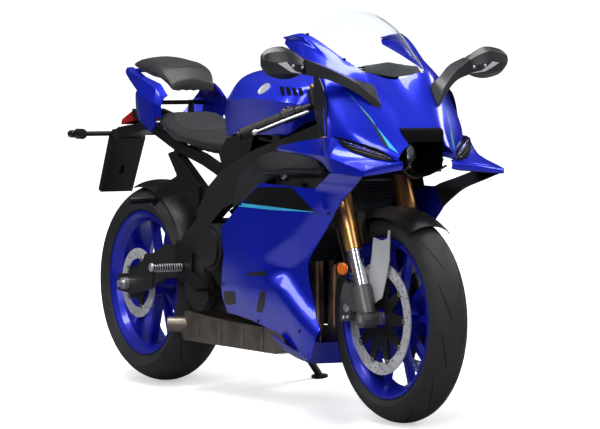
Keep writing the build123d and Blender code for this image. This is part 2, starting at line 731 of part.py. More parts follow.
with BuildPart() as pillion_seat:
    add(hull_block([(-108, (0, 1026), (44, 1018), (60, 1002), (40, 996)), (30, (0, 1034), (84, 1016), (104, 990), (88, 976)),
                    (150, (0, 1012), (84, 996), (104, 972), (92, 958)), (206, (0, 962), (66, 948), (84, 930), (78, 916))]))

with BuildPart() as tail_fairing:
    tail_side = skin([
        (-134, (40, 1002), (58, 1000), (64, 990), (58, 972)),
        (-70, (50, 994), (80, 986), (90, 940), (66, 870)),
        (60, (92, 972), (108, 966), (122, 915), (106, 800)),
        (170, (98, 950), (116, 934), (126, 890), (120, 790)),
        (214, (98, 916), (112, 908), (124, 884), (122, 820))])
    with BuildSketch(Plane.XZ.offset(-30)):
        with BuildLine():
            Polyline((-136, 984), (40, 928), (22, 909), (-26, 847), (60, 826), (139, 799), (216, 846),
                     (216, 930), (120, 1000), (-60, 1030), (-136, 1030), close=True)
        make_face()
    tail_outline = extrude(amount=-110, mode=Mode.PRIVATE)
    tail_half = tail_side & tail_outline
    add(tail_half)
    add(mirror(tail_half, about=Plane.XZ))
    add(hull_block([(-134, (0, 998), (42, 996), (38, 984)), (-108.5, (0, 996), (42, 994), (40, 984))]))
    add(pillion_seat.part, mode=Mode.SUBTRACT)
    add(rider_seat.part, mode=Mode.SUBTRACT)

with BuildPart() as tail_light:
    add(hull_block([(-205, (0, 836), (40, 832), (44, 815)), (-100, (0, 880), (56, 862), (56, 830))]))

with BuildPart() as plate_holder:
    add(hull_block([(-300, (0, 790), (30, 788), (30, 770)), (-240, (0, 812), (36, 806), (36, 770)),
                    (-60, (0, 826), (36, 822), (36, 800))]))
    add(plate([(-236, 800), (-262, 780), (-340, 600), (-322, 592), (-228, 770)], -58, 58))
    add(rod((-256, 24, 785), (-256, 196, 785), 8))
    add(rod((-256, -24, 785), (-256, -196, 785), 8))
    for side in (-1, 1):
        add(rod((-270, side * 168, 785), (-236, side * 168, 785), 17))
    add(bar(-8, 8, (-284, 665), 15), mode=Mode.SUBTRACT)

cap_x = 770.0  # fuel cap's centre
cap_r = 34.0
cap_z = 1007.0  # top of the filler ring
cap_hinge = cap_x - cap_r - 9
with BuildPart() as tank:
    add(hull_block([(612, (0, 968), (70, 960), (116, 888), (104, 798)), (690, (0, 998), (92, 976), (142, 905), (116, 806)),
                    (850, (0, 1002), (104, 974), (166, 915), (112, 806)), (976, (0, 986), (100, 962), (152, 908), (110, 806)),
                    (1040, (0, 962), (88, 950), (118, 900), (80, 845)),
                    (1078, (0, 948), (46, 940), (58, 892), (40, 850))]))
    with BuildSketch(Plane.XY.offset(985)):
        with Locations((cap_x, 0)):
            Circle(cap_r + 5)
    extrude(amount=cap_z - 985)
    for low, high in ((-16, -10.3), (10.3, 16)):
        add(plate([(cap_hinge - 6, 990), (cap_hinge + 6, 990), (cap_hinge + 6, cap_z + 9), (cap_hinge - 6, cap_z + 9)],
                  low, high))
    add(bar(-16, 16, (cap_hinge, cap_z + 5), 2))
    add(bar(-10.3, 10.3, (cap_hinge, cap_z + 5), 5.3), mode=Mode.SUBTRACT)
    add(bar(-16, 16, (cap_hinge, cap_z + 5), 2))

with BuildPart() as fuel_cap:
    with BuildSketch(Plane.XY.offset(cap_z + seat_gap)):
        with Locations((cap_x, 0)):
            Circle(cap_r)
    extrude(amount=8)
    add(plate([(cap_hinge, cap_z + 3), (cap_x - cap_r + 6, cap_z + 3), (cap_x - cap_r + 6, cap_z + 8),
               (cap_hinge, cap_z + 8)], -10, 10))
    add(bar(-10, 10, (cap_hinge, cap_z + 5), 5))
    add(bar(-11, 11, (cap_hinge, cap_z + 5), 2 + spin_gap), mode=Mode.SUBTRACT)

# ---- Fairing, screen and mirrors ----------------------------------------------------
side_skin = skin([
    (660, (132, 770), (150, 690), (158, 600), (176, 540), (178, 430), (160, 330), (132, 262)),
    (840, (140, 775), (168, 720), (184, 640), (194, 585), (190, 440), (182, 330), (148, 250)),
    (1040, (150, 785), (182, 750), (196, 690), (200, 630), (194, 500), (190, 330), (158, 214)),
    (1180, (160, 790), (186, 755), (198, 700), (201, 640), (197, 520), (195, 310), (180, 180)),
    (1320, (178, 770), (190, 745), (196, 700), (199, 640), (199, 560), (196, 330), (192, 240)),
    (1380, (150, 770), (160, 745), (168, 700), (174, 640), (177, 560), (178, 330), (176, 240))])
fairing_outline = [(709, 529), (725, 444), (670, 320), (672, 268), (837, 258), (996, 235), (1119, 201), (1233, 173),
                   (1284, 262), (1250, 303), (1212, 367), (1196, 410), (1200, 450), (1236, 487), (1313, 553),
                   (1374, 612), (1334, 612), (1296, 665), (1283, 663), (959, 669), (838, 602)]
vents = (
    [(846, 393), (1012, 400), (1012, 416), (846, 409)],
    [(967, 290), (979, 290), (996, 358), (984, 358)],
    [(784, 314), (802, 314), (802, 330), (784, 330)],
)
belly_rows = (
    (0.25, (965, 158), (1088, 144), (1102, 206)),
    (110, (965, 170), (1120, 150), (1136, 212)),
    (152, (985, 200), (1136, 160), (1150, 222)),
    (184, (1010, 226), (1218, 174), (1255, 240)),
)
with BuildPart() as belly_half:
    for y, *points in belly_rows:
        with BuildSketch(Plane.XZ.offset(-y)):
            with BuildLine():
                Polyline(*points, *reversed(inside(points, -panel_t)), close=True)
            make_face()
    loft(ruled=True)

with BuildPart() as fairing_left:
    add(side_skin)
    add(plate(fairing_outline, 90, 230), mode=Mode.INTERSECT)
    for vent in vents:
        add(plate(vent, 165, 230, 4), mode=Mode.SUBTRACT)
    add(belly_half.part)
    add(bar(158.3, 185, (800, 390), 8))

with BuildPart() as fairing_right:
    add(mirror(fairing_left.part, about=Plane.XZ))
    add(bar(-170, -150.3, (745, 380), 8))

with BuildPart() as side_cover:
    add(skin([
        (797, (160, 682), (176, 640), (184, 600.5)),
        (860, (172, 716), (184, 660), (189, 616.5)),
        (938, (186, 737), (178, 703), (180, 664)),
        (1050, (199, 765), (172, 706), (168, 700)),
        (1296, (211, 750), (172, 712), (168, 706))]))
    add(bar(136, 179, (960, 720), 8))
    add(frame.part, mode=Mode.SUBTRACT)
    add(fairing_left.part, mode=Mode.SUBTRACT)

with BuildPart() as side_covers:
    add(side_cover.part)
    add(mirror(side_cover.part, about=Plane.XZ))

with BuildPart() as cowl:
    brow = skin([(1060, (159, 1094), (162, 1087), (164, 1081), (166, 1074)), (1175, (159, 1098), (172, 1072), (181, 1048), (185, 1028)),
                 (1321, (123, 1026), (160, 1000), (192, 975), (200, 962)), (1385, (104, 990), (158, 945), (212, 870), (222, 812))])
    nose = arch([(1385, (0, 972), (104, 990), (158, 945), (212, 870), (222, 812)),
                 (1455, (0, 902), (85, 905), (136, 872), (184, 826), (187, 796)),
                 (1521, (0, 841), (66, 838), (100, 808), (122, 782), (126, 764)),
                 (1560, (0, 795), (60, 792), (80, 778), (92, 762), (94, 748))])
    add(nose)
    add(brow)
    add(mirror(brow, about=Plane.XZ))
    with BuildSketch(Plane.YZ.offset(1500)):
        with BuildLine():
            Polyline((-66, 836), (66, 836), (56, 700), (-56, 700), close=True)
        make_face()
    extrude(amount=100, mode=Mode.SUBTRACT)

with BuildPart() as intake:
    add(hull_block([(1400, (0, 822), (60, 820), (54, 722), (0, 704)), (1521, (0, 835.7), (65.7, 835.7), (55.7, 724), (0, 704))]))
    add(hull_block([(1404, (0, 814), (54, 812), (49, 728), (0, 712)), (1530, (0, 826), (58, 826), (50, 730), (0, 710))]),
        mode=Mode.SUBTRACT)

with BuildPart() as headlight:
    add(rod((1404.3, 0, 768), (1470, 0, 768), 34))

with BuildPart() as screen:
    glass = arch([(1165, (0, 1168), (60, 1160), (120, 1130), (152, 1106)), (1175, (0, 1166), (60, 1158), (120, 1128), (158.0, 1099.2)),
                  (1321, (0, 1080), (60, 1070), (100, 1046), (122.0, 1027.2)), (1384.5, (0, 980), (50, 986), (90, 991), (102.6, 992))], 3)
    add(glass)

with BuildPart() as cowl_stay:
    add(spar([(1206, -18, 18, 806, 842), (1320, -18, 18, 850, 880), (1400, -22, 22, 868, 886)]))
    add(plate([(1380, 870), (1404, 870), (1402, 910), (1384, 910)], -20, 20))
    add(plate([(1266, 828), (1288, 834), (1288, 935), (1266, 935)], -14, 14))
    add(frame.part, mode=Mode.SUBTRACT)
    add(cowl.part, mode=Mode.SUBTRACT)

with BuildPart() as cowl_hoop:
    add(rod((1392, -100, 905), (1392, 100, 905), 9))
    for side in (-1, 1):
        add(rod((1391, side * 93, 900), (1399, side * 99, 964), 7))
    add(cowl_stay.part, mode=Mode.SUBTRACT)
    add(cowl.part, mode=Mode.SUBTRACT)

with BuildPart() as dash:
    add(hull_block([(1262, (0, 1010), (80, 1006), (80, 940), (0, 935.3)),
                    (1286, (0, 1010), (80, 1006), (80, 940), (0, 935.3))]))

with BuildPart() as winglet:
    add(skin([
        (1078, (196, 780), (203, 774), (200, 766)), (1222, (200, 797), (214, 765), (206, 757)),
        (1340, (212, 808), (228, 761), (218, 745)), (1413, (222, 812), (240, 758), (232, 722)),
        (1444, (216, 806), (246, 756), (240, 714)), (1540, (105, 752), (238, 736), (236, 711)),
        (1566, (84, 745), (236, 730), (234, 709)), (1600, (215, 727), (232, 723), (231, 709))]))
    add(across([(80, (1556, 722), (1563, 722), (1563, 746), (1556, 746)),
                (232, (1592, 708), (1599, 708), (1599, 724), (1592, 724))]))
    for z, rear, front, y_rear, y_front in (
            (608, 1330, 1370, 196, 177), (665, 1296, 1468, 203, 190), (722, 1436, 1596, 243, 230)):
        with BuildSketch(Plane.XY.offset(z)):
            with BuildLine():
                Polyline((rear, y_rear), (front, y_front), (front, y_front - panel_t), (rear, y_rear - panel_t),
                         close=True)
            make_face()
    loft(ruled=True)
    add(side_cover.part, mode=Mode.SUBTRACT)
    add(fairing_left.part, mode=Mode.SUBTRACT)
    add(cowl.part, mode=Mode.SUBTRACT)

with BuildPart() as winglets:
    add(winglet.part)
    add(mirror(winglet.part, about=Plane.XZ))

with BuildPart() as nose_lamps:
    lamp = spar([(1390, 212, 222, 782, 812), (1455, 176, 186, 772, 797), (1521, 116, 124, 752, 766),
                 (1552, 92, 98, 744, 751)])
    add(lamp)
    add(mirror(lamp, about=Plane.XZ))
    add(winglets.part, mode=Mode.SUBTRACT)
    add(cowl.part, mode=Mode.SUBTRACT)

mirror_rows = (  # y, rear x, front x, low z, high z of a mirror's housing
    (268, 1326, 1352, 996, 1018),
    (300, 1308, 1370, 978, 1052),
    (338, 1306, 1372, 974, 1067),
    (384, 1318, 1366, 984, 1062),
    (411, 1342, 1358, 1016, 1042),
)
with BuildPart() as mirror_left:
    add(across([(y, (rear, low), (front - 0.35 * (front - rear), low), (front, (low + high) / 2),
                 (front - 0.35 * (front - rear), high), (rear, high)) for y, rear, front, low, high in mirror_rows]))
    add(across([(94, (1425, 939), (1468, 881), (1470, 905), (1432, 958)),
                (150, (1392, 955), (1430, 938), (1430, 956), (1394, 973)),
                (274, (1328, 998), (1362, 998), (1362, 1012), (1328, 1012))]))
    add(cowl.part, mode=Mode.SUBTRACT)

with BuildPart() as mirrors:
    add(mirror_left.part)
    add(mirror(mirror_left.part, about=Plane.XZ))

# ---- Parking ------------------------------------------------------------------------
pieces = {
    "frame_head": frame_head, "frame_left": frame_left, "frame_right": frame_right, "frame_tubes": frame_tubes,
    "cowl_hoop": cowl_hoop, "engine": engine, "engine_covers": engine_covers, "radiator": radiator,
    "headers": headers, "silencer": silencer, "swingarm": swingarm, "rear_axle": rear_axle, "chain": chain,
    "rear_hugger": rear_hugger, "rear_caliper": rear_caliper, "rearsets": rearsets, "subframe": subframe,
    "passenger_pegs": passenger_pegs, "rider_seat": rider_seat, "pillion_seat": pillion_seat,
    "tail_fairing": tail_fairing, "tail_light": tail_light, "plate_holder": plate_holder, "tank": tank,
    "fuel_cap": fuel_cap, "nose_lamps": nose_lamps,
    "side_covers": side_covers, "fairing_left": fairing_left, "fairing_right": fairing_right,
    "cowl": cowl, "intake": intake, "headlight": headlight, "screen": screen,
    "cowl_stay": cowl_stay, "dash": dash, "winglets": winglets, "mirrors": mirrors, "yokes": yokes, "fork_tubes": fork_tubes,
    "fork_sliders": fork_sliders, "fork_feet": fork_feet, "front_axle": front_axle,
    "front_calipers": front_calipers, "brake_hoses": brake_hoses,
    "fork_guards": fork_guards, "handlebars": handlebars, "grips": grips, "controls": controls,
    "front_fender": front_fender, "front_rim": front_rim, "front_tyre": front_tyre, "front_discs": front_discs,
    "rear_rim": rear_rim, "rear_tyre": rear_tyre, "rear_disc": rear_disc, "rear_sprocket": rear_sprocket,
    "side_stand": side_stand,
}
lean_turn = Location((0, 0, 0), (-lean, 0, 0))
upright = Compound(children=[piece.part.moved(lean_turn) for piece in pieces.values()])
box = upright.bounding_box()
parked = Location((-(box.min.X + box.max.X) / 2, -(box.min.Y + box.max.Y) / 2, -box.min.Z)) * lean_turn


def parked_point(point):
    """A point of the upright machine as it stands parked."""
    return (parked * Location(Vector(*point))).position


marks = {
    "front_wheel": (front_axle_point, (0, 1, 0)),
    "rear_wheel": (rear_axle_point, (0, 1, 0)),
    "steering": (steer_point, along_fork),
    "steering_stem": (steer_point + along_fork * (fork_top - 262), along_fork * -1),
    "side_stand": (stand_pivot, stand_axis),
    "stand_foot": (stand_foot, (0, 0, -1)),
    "fuel_hinge": (Vector(cap_hinge, 0, cap_z + 5), (0, -1, 0)),
    "plate_hole": (Vector(-284, 0, 665), (0, 1, 0)),
}
for name, (point, way) in marks.items():
    place = parked_point(point)
    tip = parked_point(Vector(*point) + Vector(*way))
    print(name, *[round(v, 5) for v in place], *[round(v, 6) for v in tip - place])

os.makedirs("parts", exist_ok=True)
for name, piece in pieces.items():
    standing = piece.part.moved(parked)
    standing.label = name
    export_step(standing, f"parts/{name}.step")
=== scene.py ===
"""Looks of a fully faired sport motorcycle leaning on its side stand."""
import json
from functools import partial
from math import asin, copysign, cos, pi, radians, sin, sqrt

import bmesh
import bpy
from mathutils import Matrix, Vector
from mathutils.bvhtree import BVHTree


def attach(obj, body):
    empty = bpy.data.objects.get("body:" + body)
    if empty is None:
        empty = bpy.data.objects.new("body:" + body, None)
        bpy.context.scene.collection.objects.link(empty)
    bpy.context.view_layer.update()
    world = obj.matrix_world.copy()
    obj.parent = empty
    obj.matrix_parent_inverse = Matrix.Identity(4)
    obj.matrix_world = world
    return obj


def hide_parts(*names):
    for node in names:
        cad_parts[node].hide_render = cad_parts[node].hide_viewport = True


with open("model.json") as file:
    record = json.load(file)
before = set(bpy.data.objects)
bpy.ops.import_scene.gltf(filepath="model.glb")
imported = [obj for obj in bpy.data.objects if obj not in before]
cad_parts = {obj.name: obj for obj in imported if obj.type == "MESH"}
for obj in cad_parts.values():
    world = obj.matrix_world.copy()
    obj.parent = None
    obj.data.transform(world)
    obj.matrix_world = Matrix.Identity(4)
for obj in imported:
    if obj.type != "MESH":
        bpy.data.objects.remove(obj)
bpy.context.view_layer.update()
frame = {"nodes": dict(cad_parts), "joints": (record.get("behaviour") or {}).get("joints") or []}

nodes = frame["nodes"]
joints = {joint["name"]: joint for joint in frame["joints"]}
scene = bpy.context.scene

# The machine is drawn upright, in millimetres, with the ground point under the rear
# axle as origin. PARK leans it on its side stand, in metres.
MM = 0.001
rear_spin = joints["rear_wheel_spin"]
lean = asin(-rear_spin["axis"][2])
TURN = Matrix.Rotation(-lean, 4, "X")
REAR_AXLE = Vector((0, 0, 315))
PARK = Matrix.Translation(Vector(rear_spin["pos_m"]) - TURN @ (REAR_AXLE * MM)) @ TURN @ Matrix.Scale(MM, 4)
front_pos = PARK.inverted() @ Vector(joints["front_wheel_spin"]["pos_m"])
FRONT_AXLE = Vector((front_pos.x, 0, front_pos.z))
RAKE = radians(22.67)
FORK_HALF = 105  # half width over the fork legs
ALONG = Vector((-sin(RAKE), 0, cos(RAKE)))
AHEAD = Vector((cos(RAKE), 0, sin(RAKE)))
SIDES = (-1, 1)
WHEELS = (("front", FRONT_AXLE), ("rear", REAR_AXLE))


def add_object(name, data):
    """New object in the scene."""
    made = bpy.data.objects.new(name, data)
    scene.collection.objects.link(made)
    return made


# ---- Camera
AZIMUTH, ELEVATION, DISTANCE = radians(30.52), radians(2.85), 9888
back = Vector((cos(ELEVATION) * cos(AZIMUTH), -cos(ELEVATION) * sin(AZIMUTH), sin(ELEVATION)))
right = Vector((0, 0, 1)).cross(back).normalized()
spun = Matrix((right, back.cross(right), back)).transposed().to_4x4()
EYE = Matrix.Translation(Vector((862.9, 0, 567.3)) + back * DISTANCE) @ spun  # in the upright frame
camera = add_object("camera", bpy.data.cameras.new("camera"))
camera.data.lens = 199.4
camera.data.sensor_width = 36
camera.data.clip_end = 200
seat = PARK @ EYE
camera.matrix_world = Matrix.Translation(seat.translation) @ seat.to_quaternion().to_matrix().to_4x4()
scene.camera = camera


# ---- Materials
def new_material(name):
    """Material with its own node tree, and that tree."""
    made = bpy.data.materials.new(name)
    made.use_nodes = True
    return made, made.node_tree


def put(node, **values):
    """Sets a node's inputs; Base_Color stands for Base Color."""
    for name, value in values.items():
        node.inputs[name.replace("_", " ")].default_value = value


def add_node(tree, kind, operation="", **values):
    """New shader node with its operation and inputs set."""
    made = tree.nodes.new("ShaderNode" + kind)
    if operation:
        made.operation = operation
    put(made, **values)
    return made


def wire(tree, *rows):
    """Links from (node, output, node, input) rows."""
    for source, output, target, entry in rows:
        tree.links.new(source.outputs[output], target.inputs[entry])


def colour_ramp(tree, first, *stops):
    """Colour ramp through (position, colour) stops."""
    made = tree.nodes.new("ShaderNodeValToRGB")
    line = made.color_ramp.elements
    line.remove(line[1])
    line[0].position, line[0].color = first[0], (*first[1], 1)
    for position, colour in stops:
        line.new(position).color = (*colour, 1)
    return made


def shader(name, colour, rough, metal=0, coat=0, coat_rough=0.03, vary=0.12, vary_scale=9,
           rough_vary=0.08, bump=0, grain=900, stretch=(1, 1, 1), transmission=0, ior=1.45,
           sheen=0):
    """Procedural finish: a colour that drifts a little, uneven roughness and a fine bump."""
    made, tree = new_material(name)
    surface = tree.nodes["Principled BSDF"]
    put(surface, Metallic=metal, Coat_Weight=coat, Coat_Roughness=coat_rough,
        Transmission_Weight=transmission, IOR=ior, Sheen_Weight=sheen)
    place = add_node(tree, "TexCoord")
    scale = add_node(tree, "Mapping", Scale=stretch)
    drift = add_node(tree, "TexNoise", Scale=vary_scale, Detail=4)
    ramp = colour_ramp(tree, (0.3, [c * (1 - vary) for c in colour]),
        (0.7, [min(c * (1 + vary), 1) for c in colour]))
    speck = add_node(tree, "TexNoise", Scale=grain, Detail=2)
    spread = add_node(tree, "MapRange", To_Min=max(rough - rough_vary, 0.01),
        To_Max=min(rough + rough_vary, 1))
    wire(tree, (place, "Object", scale, "Vector"), (scale, "Vector", drift, "Vector"),
        (drift, "Fac", ramp, "Fac"), (ramp, "Color", surface, "Base Color"),
        (scale, "Vector", speck, "Vector"), (speck, "Fac", spread, "Value"),
        (spread, "Result", surface, "Roughness"))
    if bump:
        relief = add_node(tree, "Bump", Strength=bump, Distance=0.0004)
        wire(tree, (speck, "Fac", relief, "Height"), (relief, "Normal", surface, "Normal"))
    return made


paint = shader("deep_blue_paint", (0.0015, 0.014, 0.58), 0.28, metal=0.5, coat=0.5, vary=0.05, grain=2600,
    rough_vary=0.05)
wheel_paint = shader("blue_wheel_paint", (0.001, 0.008, 0.42), 0.38, metal=0.4, coat=0.6, coat_rough=0.12,
    grain=2200)
dark_paint = shader("dark_satin_panel", (0.016, 0.0165, 0.019), 0.36, vary=0.1, bump=0.08, grain=1500)
plastic = shader("black_plastic", (0.0055, 0.0055, 0.006), 0.42, vary=0.2, bump=0.22, grain=1300)
matt = shader("deep_black", (0.0016, 0.0016, 0.0018), 0.62, vary=0.2, bump=0.12, grain=1300, ior=1.14)
gloss = shader("gloss_black", (0.006, 0.006, 0.007), 0.16, coat=0.5, vary=0.2, rough_vary=0.03)
black_metal = shader("black_metal", (0.008, 0.008, 0.009), 0.38, metal=0.3, vary=0.2, bump=0.12, grain=1100)
grey_metal = shader("grey_cast_metal", (0.02, 0.02, 0.022), 0.44, metal=0.4, vary=0.18, bump=0.3, grain=700)
engine_metal = shader("engine_casting", (0.013, 0.013, 0.014), 0.52, metal=0.5, vary=0.3, bump=0.45,
    grain=420)
steel = shader("brushed_steel", (0.6, 0.6, 0.61), 0.34, metal=0.85, bump=0.1, grain=800, stretch=(1, 6, 1))
disc_steel = shader("disc_steel", (0.78, 0.78, 0.79), 0.46, metal=0.7, vary=0.15, bump=0.12, grain=500,
    vary_scale=30)
heat_steel = shader("heat_tinted_steel", (0.5, 0.34, 0.2), 0.32, metal=0.9, vary=0.45, vary_scale=14,
    bump=0.06)
dull_steel = shader("dull_exhaust_steel", (0.24, 0.205, 0.17), 0.42, metal=0.9, vary=0.35, vary_scale=12,
    bump=0.15)
cast_grey = shader("mid_grey_casting", (0.13, 0.13, 0.135), 0.42, metal=0.6, bump=0.25, grain=700)
alloy = shader("satin_alloy", (0.66, 0.66, 0.68), 0.38, metal=0.75, bump=0.12)
gold = shader("gold_anodised", (0.68, 0.36, 0.12), 0.3, metal=0.95)
chrome = shader("hard_chrome", (0.85, 0.85, 0.87), 0.16, metal=1, vary=0.05, rough_vary=0.03)
tyre_rubber = shader("tyre_rubber", (0.015, 0.015, 0.0155), 0.66, vary=0.25, vary_scale=16, bump=0.3,
    grain=1400)
grip_rubber = shader("grip_rubber", (0.012, 0.012, 0.012), 0.7, vary=0.2, bump=0.5, grain=700)
vinyl = shader("seat_vinyl", (0.012, 0.012, 0.013), 0.5, vary=0.2, vary_scale=22, bump=0.5, grain=950,
    sheen=0.04)
clear = shader("clear_screen", (0.86, 0.9, 0.93), 0.04, transmission=1, ior=1.12, vary=0.01, rough_vary=0.01)
lens = shader("lamp_lens", (0.75, 0.77, 0.8), 0.06, transmission=0.85, ior=1.5, vary=0.04, rough_vary=0.02)
red_lens = shader("red_lens", (0.45, 0.006, 0.006), 0.14, coat=0.8, vary=0.2)
core = shader("radiator_core", (0.012, 0.012, 0.013), 0.5, metal=0.4, vary=0.3, bump=0.4, grain=300,
    stretch=(1, 1, 5))
cyan = shader("cyan_film", (0.045, 0.42, 0.72), 0.3, coat=0.7, vary=0.04)
light_plastic = shader("light_grey_plastic", (0.56, 0.57, 0.58), 0.4, vary=0.06, bump=0.15, grain=1200)
amber = shader("amber_lens", (0.75, 0.16, 0.015), 0.16, coat=0.8, vary=0.3, vary_scale=300)

# The record's slot for each finish, which piece looks up unless its call gives another one or none; piece
# does not give the slot to the object.
SLOTS = {paint: "blue_paint", cyan: "blue_paint", dark_paint: "dark_panel", black_metal: "black_metal",
         gloss: "black_plastic", steel: "steel", alloy: "alloy", chrome: "chromed"}

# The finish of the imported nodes.
for finish, names in ((paint, "tail_fairing tank fairing_left fairing_right cowl winglets"),
        (black_metal,
        "rearsets subframe passenger_pegs cowl_stay yokes handlebars side_stand cowl_hoop fuel_cap"),
        (plastic, "rear_hugger plate_holder controls front_fender"),
        (grey_metal, "engine_covers swingarm rear_caliper frame_head frame_left frame_right frame_tubes"),
        (steel, "rear_axle chain front_axle rear_sprocket"), (cast_grey, "fork_feet front_calipers"),
        (grip_rubber, "grips brake_hoses"), (gloss, "mirrors nose_lamps"), (vinyl, "rider_seat pillion_seat"),
        (matt, "intake dash"), (wheel_paint, "front_rim rear_rim"), (tyre_rubber, "front_tyre rear_tyre"),
        (disc_steel, "front_discs rear_disc"), (engine_metal, "engine"), (core, "radiator"),
        (heat_steel, "headers"), (dull_steel, "silencer"), (red_lens, "tail_light"),
        (dark_paint, "side_covers"), (lens, "headlight"), (clear, "screen"), (gold, "fork_tubes"),
        (chrome, "fork_sliders"), (light_plastic, "fork_guards")):
    for name in names.split():
        nodes[name].data.materials.clear()
        nodes[name].data.materials.append(finish)


# ---- Making pieces
def flip(part):
    """The part on the other side of the machine."""
    verts, faces = part
    return [Vector((v.x, -v.y, v.z)) for v in verts], [tuple(reversed(face)) for face in faces]


def join(*parts):
    """Several (verts, faces) parts as one."""
    verts, faces = [], []
    for more, rings in parts:
        start = len(verts)
        verts += more
        faces += [tuple(start + i for i in ring) for ring in rings]
    return verts, faces


def both(*parts):
    part = join(*parts)
    return join(part, flip(part))


def round_edges(made, width, angle):
    """Bevel over the edges sharper than an angle in degrees."""
    soft = made.modifiers.new("edge", "BEVEL")
    soft.width = width * MM
    soft.segments = 2
    soft.limit_method = "ANGLE"
    soft.angle_limit = radians(angle)
    return soft


def piece(name, part, finish, body="chassis", replaces="", slot=None, thick=0, sharp=30, bevel=0, weld=True):
    """A shown piece from one part or a list, drawn upright in millimetres; sharp is in degrees."""
    verts, faces = join(*part) if isinstance(part, list) else part
    mesh = bpy.data.meshes.new(name)
    mesh.from_pydata([tuple(PARK @ v) for v in verts], [], faces)
    shape = bmesh.new()
    shape.from_mesh(mesh)
    if weld:
        bmesh.ops.remove_doubles(shape, verts=shape.verts, dist=0.00002)
    bmesh.ops.dissolve_degenerate(shape, edges=shape.edges, dist=0.00001)
    bmesh.ops.recalc_face_normals(shape, faces=shape.faces)
    for face in shape.faces:
        face.smooth = True
    for edge in shape.edges:
        edge.smooth = len(edge.link_faces) == 2 and edge.calc_face_angle(0) < radians(sharp)
    shape.to_mesh(mesh)
    shape.free()
    made = add_object(name, mesh)
    mesh.materials.append(finish)
    if thick:
        wall = made.modifiers.new("wall", "SOLIDIFY")
        wall.thickness = thick * MM
        wall.offset = 0
    if bevel:
        round_edges(made, bevel, 35).harden_normals = True
    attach(made, body)
    if replaces:
        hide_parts(replaces)
    if slot is None:
        slot = SLOTS.get(finish)
    return made


def fill(points, steps, breaks=()):
    """Smooth line through the points, with corners kept at the breaks."""
    line = [Vector(points[0])]
    cuts = [0, *breaks, len(points) - 1]
    for a, b in zip(cuts, cuts[1:]):
        part = [Vector(p) for p in points[a:b + 1]]
        part = [2 * part[0] - part[1], *part, 2 * part[-1] - part[-2]]
        for p0, p1, p2, p3 in zip(part, part[1:], part[2:], part[3:]):
            for k in range(1, steps + 1):
                t = k / steps
                line.append(0.5 * (2 * p1 + (p2 - p0) * t + (2 * p0 - 5 * p1 + 4 * p2 - p3) * t * t
                                   + (3 * p1 - p0 - 3 * p2 + p3) * t ** 3))
    return line


def weave(rows, across, along, col_breaks=(), row_breaks=()):
    """Smooth grid through rows of points, with creases at the breaks."""
    dense = [fill(row, across, col_breaks) for row in rows]
    columns = [fill(column, along, row_breaks) for column in zip(*dense)]
    return [list(row) for row in zip(*columns)]


def cloth_of(grid, keep=None):
    """Faces over a grid, left out where keep(row, column) says so."""
    wide = len(grid[0])
    verts = [v for row in grid for v in row]
    faces = [(i * wide + j, i * wide + j + 1, (i + 1) * wide + j + 1, (i + 1) * wide + j)
             for i in range(len(grid) - 1) for j in range(wide - 1) if keep is None or keep(i, j)]
    return verts, faces


def capped(grid):
    """Closed body from a grid whose rows are loops that start and end at one point."""
    verts, faces = cloth_of(grid)
    wide = len(grid[0])
    faces.append(tuple(reversed(range(wide - 1))))
    faces.append(tuple((len(grid) - 1) * wide + j for j in range(wide - 1)))
    return verts, faces


def sheets(rows, *steps):
    """Smooth cloth through rows of points, on both sides of the machine."""
    return both(cloth_of(weave(rows, *steps)))


def stations(table):
    """Rows of upright points from (x, (y, z), ...)."""
    return [[(x, y, z) for y, z in row] for x, *row in table]


def whole(table):
    """Rows over the middle from (x, (0, z), (y, z), ...), other side first."""
    return [[(x, -y, z) for y, z in reversed(row[1:])] + [(x, y, z) for y, z in row] for x, *row in table]


def lathe(centre, axis, profile, steps):
    """Turned form: profile of (radius, distance along the axis)."""
    n = Vector(axis).normalized()
    u = n.orthogonal().normalized()
    v = n.cross(u)
    c = Vector(centre)
    grid = []
    for k in range(steps + 1):
        a = 2 * pi * (k % steps) / steps
        way = u * cos(a) + v * sin(a)
        grid.append([c + way * r + n * d for r, d in profile])
    return cloth_of(grid)


def tube(points, radius, sides, flat=1, smooth=4):
    """Rod along a smooth line; the radius can be one number or one per point."""
    line = [Vector(p) for p in points]
    radii = radius if isinstance(radius, (list, tuple)) else [radius] * len(line)
    if smooth > 1:
        line = fill(line, smooth)
        radii = [v.x for v in fill([(r, 0, 0) for r in radii], smooth)]
    grid = []
    for k, point in enumerate(line):
        ahead = (line[min(k + 1, len(line) - 1)] - line[max(k - 1, 0)]).normalized()
        side = ahead.cross(Vector((0, 0, 1)))
        side = side.normalized() if side.length > 0.05 else ahead.orthogonal().normalized()
        top = side.cross(ahead).normalized()
        grid.append([point + (side * cos(a) + top * (sin(a) * flat)) * radii[k]
                     for a in [2 * pi * (s % sides) / sides for s in range(sides + 1)]])
    return capped(grid)


def prism(outline, y_low, y_high):
    """Plate between two y values with an (x, z) outline."""
    n = len(outline)
    verts = [Vector((x, y, z)) for y in (y_low, y_high) for x, z in outline]
    faces = [tuple(range(n)), tuple(reversed(range(n, 2 * n)))]
    faces += [(i, n + i, n + (i + 1) % n, (i + 1) % n) for i in range(n)]
    return verts, faces


def round_loop(x, z, radius, steps):
    turns = [2 * pi * k / steps for k in range(steps)]
    return [(x + radius * cos(a), z + radius * sin(a)) for a in turns]


